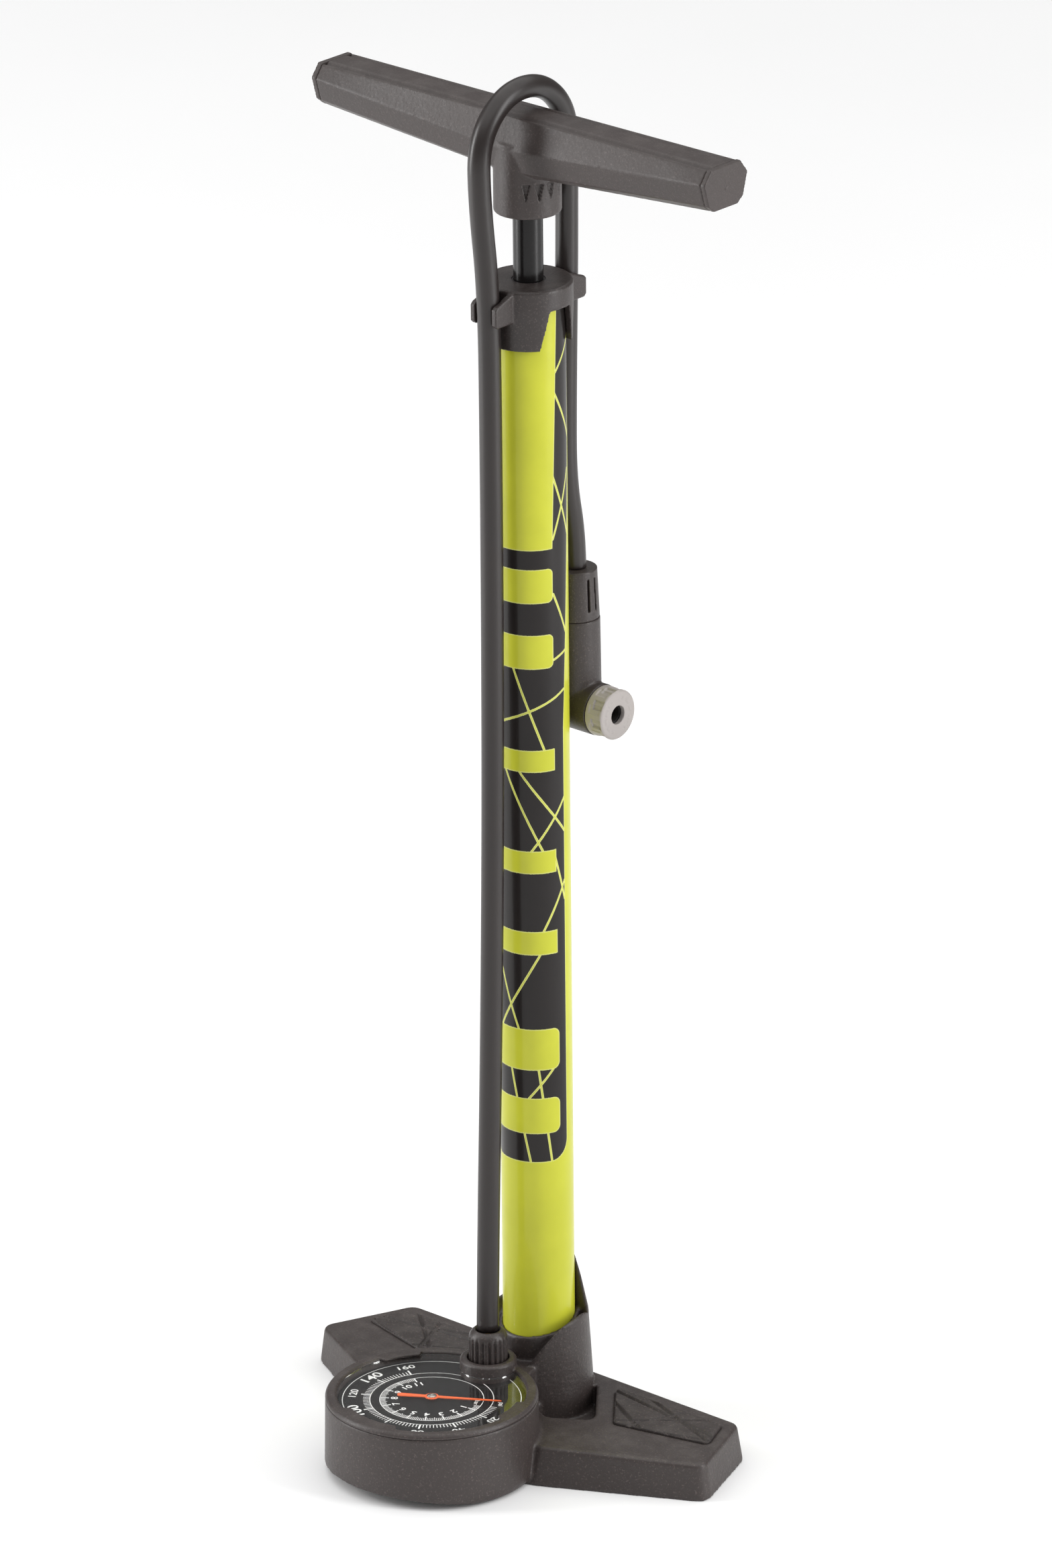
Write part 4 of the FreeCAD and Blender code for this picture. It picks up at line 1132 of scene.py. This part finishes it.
@dataclass
class Gauge:
    """Pressure gauge: bezel, printed dial, needle and the hose's nut."""

    middle: Point2 = (0.0, -84.0 * MM)
    print_z: float = 37.63 * MM
    zero: float = 32.0
    degrees_per_bar: float = 21.75
    degrees_per_psi: float = 1.5
    rings: tuple[tuple[float, float], ...] = ((27.2, 0.4), (32.4, 0.4), (46.8, 0.45))
    needle_z: Point2 = (38.7 * MM, 39.3 * MM)
    needle_tip: float = 37.0 * MM
    needle_tail: float = 18.2 * MM
    port: Point2 = (0.0, -40.0 * MM)
    nut_radius: float = 10.3 * MM
    nut_span: Point2 = (44.0 * MM, 64.0 * MM)
    nut_ribs: int = 20

    def build(self, finishes: Finishes) -> None:
        """Make the gauge's pieces.

        Args:
            finishes: the pump's materials.
        """
        bezel = softened_piece("gauge_bezel", "bezel_ring", 0.45 * MM, 4)
        dress(bezel, finishes.base, Slot.BASE, Body.ROOT, "gauge_bezel")
        dress(self._printing(), finishes.printing, Slot.DIAL, Body.ROOT)
        dress(self._needle(), finishes.needle, Slot.NEEDLE, Body.NEEDLE, "gauge_needle")
        dress(self._hub(), finishes.needle, Slot.NEEDLE, Body.NEEDLE)
        dress(self._screw(), finishes.steel, Slot.STEEL, Body.NEEDLE, "needle_cap")
        dress(self._nut(), finishes.collar, Slot.COLLAR, Body.ROOT, "hose_nut")
        refinish(finishes.dial, "gauge_dial")
        refinish(finishes.lens, "gauge_lens")

    def _spot(self, radius: float, degrees: float, z: float) -> Vector:
        """Place on the dial from a radius in metres and an angle in degrees."""
        angle = math.radians(degrees)
        return Vector((self.middle[0] + radius * math.cos(angle),
                       self.middle[1] + radius * math.sin(angle), z))

    def _printing(self) -> bpy.types.Object:
        """Print the rings, ticks and numbers of both scales."""
        vertices: list[Vector] = []
        faces: list[tuple[int, ...]] = []

        def add(corners: Sequence[Vector], shapes: Sequence[Sequence[int]]) -> None:
            """Add one printed shape."""
            start = len(vertices)
            vertices.extend(corners)
            faces.extend(tuple(start + i for i in shape) for shape in shapes)

        def tick(degrees: float, inner: float, outer: float, width: float) -> None:
            """Add one tick, sizes in millimetres."""
            radial = self._spot(1.0, degrees, 0.0) - self._spot(0.0, degrees, 0.0)
            side = Vector((-radial.y, radial.x, 0.0)) * (width * MM / 2)
            near = self._spot(inner * MM, degrees, self.print_z)
            far = self._spot(outer * MM, degrees, self.print_z)
            add([near - side, far - side, far + side, near + side], [(0, 1, 2, 3)])

        def number(text: str, degrees: float, radius: float, height: float, width: float) -> None:
            """Add a number whose top points outward, sizes in millimetres."""
            corners, shapes = flat_text(text, height * MM, width)
            angle = math.radians(degrees)
            up = Vector((math.cos(angle), math.sin(angle), 0))
            along = Vector((math.sin(angle), -math.cos(angle), 0))
            spot = self._spot(radius * MM, degrees, self.print_z)
            add([spot + along * c.x + up * c.y for c in corners], shapes)

        for radius, width in self.rings:
            steps = 180
            ring = []
            for step in range(steps):
                ring += [self._spot((radius - width / 2) * MM, 360 * step / steps, self.print_z),
                         self._spot((radius + width / 2) * MM, 360 * step / steps, self.print_z)]
            add(ring, [(2 * i, 2 * i + 1, (2 * i + 3) % (2 * steps), (2 * i + 2) % (2 * steps))
                       for i in range(steps)])
        for step in range(5, 111):
            length = 4.2 if step % 10 == 0 else 3.2 if step % 5 == 0 else 2.4
            tick(self.zero - step / 10 * self.degrees_per_bar, 26.6 - length, 26.9,
                 0.75 if step % 10 == 0 else 0.34)
        for bar in range(1, 12):
            number(str(bar), self.zero - bar * self.degrees_per_bar, 19.4, 3.6, 1.2)
        for psi in range(6, 161, 2):
            long = psi % 20 == 0
            tick(self.zero - psi * self.degrees_per_psi, 32.6, 37.6 if long else 36.0,
                 0.95 if long else 0.45)
        for psi in range(20, 161, 20):
            large = psi % 40 == 20 and psi > 60
            number(str(psi), self.zero - psi * self.degrees_per_psi, 41.6, 5.6 if large else 4.0, 1.25)
        number("bar", self.zero - 2.0, 24.0, 2.6, 1.1)
        number("psi", self.zero - 2.0, 37.0, 2.6, 1.1)
        return new_object("dial_printing", vertices, faces, smooth=False)

    def _needle(self) -> bpy.types.Object:
        """Shape the tapered pointer with its wide tail and a low ridge along it."""
        low, high = self.needle_z
        stations = ((-self.needle_tail, 0.9), (-self.needle_tail + 0.9 * MM, 1.7),
                    (-self.needle_tail + 2 * MM, 1.8),
                    (-6.0 * MM, 1.35), (0.0, 1.2), (12.0 * MM, 0.95), (self.needle_tip - 1.0 * MM, 0.35),
                    (self.needle_tip, 0.1))
        angle = math.radians(self.zero)
        along = Vector((math.cos(angle), math.sin(angle), 0))
        side = Vector((-math.sin(angle), math.cos(angle), 0))
        centre = Vector((*self.middle, 0.0))
        vertices, faces = [], []
        for reach, half in stations:
            for part, level in ((-1.0, low), (-1.0, high - 0.15 * MM), (-0.75, high), (0.75, high),
                                (1.0, high - 0.15 * MM), (1.0, low)):
                vertices.append(centre + along * reach + side * (part * half * MM) + Vector((0, 0, level)))
        for i in range(len(stations) - 1):
            for j in range(6):
                k = (j + 1) % 6
                faces.append((6 * i + j, 6 * i + k, 6 * i + 6 + k, 6 * i + 6 + j))
        faces += [tuple(range(6)), tuple(reversed(range(6 * len(stations) - 6, 6 * len(stations))))]
        return new_object("needle_pointer", vertices, faces, smooth=False)

    def _hub(self) -> bpy.types.Object:
        """Turn the pointer's round hub."""
        low, high = self.needle_z
        outline = rounded_profile([(0.0012, low, 0), (0.0036, low, 0.0001), (0.0036, high, 0.0002),
                                   (0.0012, high + 0.1 * MM, 0)])
        return turned_piece("needle_hub", outline, 48, self.middle)

    def _screw(self) -> bpy.types.Object:
        """Turn the domed screw and cut its slot."""
        low, high = self.needle_z[1] + 0.05 * MM, self.needle_z[1] + 0.68 * MM
        outline = [(0.0, low), (0.0026, low), (0.00262, low + 0.25 * MM)]
        outline += [(0.0026 * math.cos(t), low + 0.25 * MM + (high - low - 0.25 * MM) * math.sin(t))
                    for t in (0.2, 0.4, 0.6, 0.8, 1.0, 1.2, 1.35, 1.5)]
        outline += [(0.0, high)]
        screw = turned_piece("needle_screw", outline, 64, self.middle)
        for vertex in screw.data.vertices:
            if vertex.co.z > low + 0.3 * MM and abs(vertex.co.x - self.middle[0]) < 0.35 * MM:
                vertex.co.z = low + 0.2 * MM
        return screw

    def _nut(self) -> bpy.types.Object:
        """Turn the nut with its upright ribs and domed shoulder."""
        low, high = self.nut_span
        ribs_from, ribs_to = low + 1.4 * MM, high - 3.6 * MM

        def ribbed(angle: float, radius: float, z: float) -> float:
            """Radius with the grooves between the ribs taken off."""
            groove = 0.5 - 0.5 * math.cos(angle * self.nut_ribs)
            ends = (min(1.0, max(0.0, (z - ribs_from) / (1.2 * MM)))
                    * min(1.0, max(0.0, (ribs_to - z) / (1.6 * MM))))
            return radius - 0.95 * MM * groove ** 2 * ends if radius > 8.2 * MM else radius

        wall = [(self.nut_radius, low + (high - 4.6 * MM - low) * step / 16) for step in range(1, 16)]
        outline = [(6.0 * MM, low), (self.nut_radius - 0.5 * MM, low), (self.nut_radius, low + 0.5 * MM)]
        outline += wall
        outline += [(self.nut_radius - 0.1 * MM, high - 4.2 * MM),
                    (self.nut_radius - 0.5 * MM, high - 3.0 * MM),
                    (self.nut_radius - 1.2 * MM, high - 1.8 * MM),
                    (self.nut_radius - 2.1 * MM, high - 0.8 * MM),
                    (self.nut_radius - 2.8 * MM, high - 0.25 * MM), (7.0 * MM, high - 0.1 * MM),
                    (6.4 * MM, high - 0.4 * MM), (5.95 * MM, high - 1.4 * MM), (5.9 * MM, low + 1.0 * MM)]
        return turned_piece("hose_gland_nut", outline, 240, self.port, ribbed)


# ---- barrel, collar and rod --------------------------------------------------------------------


@dataclass
class Barrel:
    """Lacquered barrel, its collar with the hose clips, and the plunger rod."""

    radius: float = 19.0 * MM
    bore: float = 17.5 * MM
    span: Point2 = (14.0 * MM, 633.0 * MM)
    rod_radius: float = 7.75 * MM
    rod_bore: float = 6.35 * MM
    rod_span: Point2 = (56.3 * MM, 711.0 * MM)

    def build(self, finishes: Finishes) -> None:
        """Make the barrel's pieces.

        Args:
            finishes: the pump's materials.
        """
        (low, high), (rod_low, rod_high) = self.span, self.rod_span
        tube = turned_piece("barrel_tube", rounded_profile([
            (self.bore, low, 0.0003), (self.radius, low, 0.0005), (self.radius, high, 0.0005),
            (self.bore, high, 0.0003)]), 160)
        dress(tube, finishes.barrel, Slot.BARREL, Body.ROOT, "barrel")
        rod = turned_piece("plunger_rod", rounded_profile([
            (self.rod_bore, rod_low, 0.0002), (self.rod_radius, rod_low, 0.0004),
            (self.rod_radius, rod_high, 0.0004), (self.rod_bore, rod_high, 0.0002)]), 96)
        dress(rod, finishes.rod, Slot.ROD, Body.HANDLE, "piston_rod")
        collar = softened_piece("barrel_collar", "hose_clip_collar", 0.5 * MM, 5)
        dress(collar, finishes.collar, Slot.COLLAR, Body.ROOT, "barrel_collar")


# ---- handle ----------------------------------------------------------------------------------


@dataclass
class Handle:
    """Two-handed grip bar with its hub and end caps."""

    hub_radius: float = 17.5 * MM
    notch_span: Point2 = (683.0 * MM, 692.0 * MM)
    notch_depth: float = 1.6 * MM
    notch_angles: Point2 = (-62.0, 30.0)
    notches: int = 4
    top: float = 726.2 * MM
    groove_y: float = 9.0 * MM
    groove_half: float = 1.6 * MM
    groove_depth: float = 1.8 * MM
    end: float = 134.0 * MM
    middle_z: float = 714.5 * MM

    def build(self, finishes: Finishes) -> None:
        """Make the handle's pieces.

        Args:
            finishes: the pump's materials.
        """
        bar = softened_piece("handle_grip", "grip_bar", 0.6 * MM, 6, self._bar_relief)
        dress(bar, finishes.handle, Slot.HANDLE, Body.HANDLE, "handle_grip")
        for side in ("right", "left"):
            cap = softened_piece(f"handle_end_cap_{side}", f"bar_end_{side}", 0.5 * MM, 5, self._end_relief)
            dress(cap, finishes.handle, Slot.HANDLE, Body.HANDLE, f"handle_end_cap_{side}")

    def _bar_relief(self, spot: Vector) -> Vector:
        """Sink the soft grooves along the top edges and cut the notches of the hub."""
        if spot.z > self.top - 4.0 * self.groove_half:
            off = math.hypot(abs(spot.y) - self.groove_y, spot.z - self.top)
            sink = self.groove_depth * math.exp(-(off / self.groove_half) ** 2)
            return Vector((spot.x, spot.y, spot.z - sink))
        reach = math.hypot(spot.x, spot.y)
        low, high = self.notch_span
        if not low < spot.z < high or not 14.0 * MM < reach < 18.5 * MM:
            return spot
        first, last = self.notch_angles
        angle = math.degrees(math.atan2(spot.y, spot.x))
        if not first < angle < last:
            return spot
        phase = (angle - first) / (last - first) * self.notches % 1.0
        rise = (spot.z - low) / (high - low)
        if abs(phase - 0.5) < 0.32 * rise:
            share = 1.0 - self.notch_depth / reach
            return Vector((spot.x * share, spot.y * share, spot.z))
        return spot

    def _end_relief(self, spot: Vector) -> Vector:
        """Press the small gate mark into an end cap."""
        if abs(spot.x) < self.end - 0.8 * MM:
            return spot
        off = math.hypot(spot.y, spot.z - self.middle_z)
        dent = math.exp(-(off / (0.9 * MM)) ** 2) * 0.5 * MM
        return Vector((spot.x - math.copysign(dent, spot.x), spot.y, spot.z))


@dataclass
class InnerWorks:
    """CAD nodes inside the pump whose shapes are already right, and the valve's spring."""

    spring_node: str = "valve_spring"

    def build(self, finishes: Finishes) -> None:
        """Refinish the inner nodes.

        Args:
            finishes: the pump's materials.
        """
        refinish(finishes.bearing, "rod_guide_bush", "piston", "rod_insert", "valve_body")
        refinish(finishes.seal, "rod_wiper", "top_bumper", "valve_o_ring", "piston_seal", "valve_poppet")
        refinish(finishes.steel, "piston_screw", "handle_screw", "handle_washer", "movement_screws")
        refinish(finishes.brass, "movement_plate", "pressure_block", "bourdon_tube", "sector_gear",
                 "needle_spindle", "hose_spigot")
        self._spring(finishes)

    def _spring(self, finishes: Finishes) -> None:
        """Make the check valve's spring as a steel copy of its CAD node.

        Args:
            finishes: the pump's materials.
        """
        coil = bpy.data.objects.new("check_valve_coil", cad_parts[self.spring_node].data.copy())
        bpy.context.scene.collection.objects.link(coil)
        coil.data.materials.clear()
        coil.data.materials.append(finishes.steel)
        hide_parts(self.spring_node)
        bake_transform(coil)
        LOG.info("piece %s shortens with the poppet and has %d faces", coil.name, len(coil.data.polygons))


def main() -> None:
    """Build the studio and every sub-assembly of the pump, in order."""
    logging.basicConfig(level=logging.INFO, format="%(name)s: %(message)s")
    Studio().build()
    finishes = Finishes.make()
    head = PumpHead()
    Hose().build(finishes, head.build(finishes))
    Base().build(finishes)
    Gauge().build(finishes)
    Barrel().build(finishes)
    Handle().build(finishes)
    InnerWorks().build(finishes)


if __name__ == "__main__":
    main()
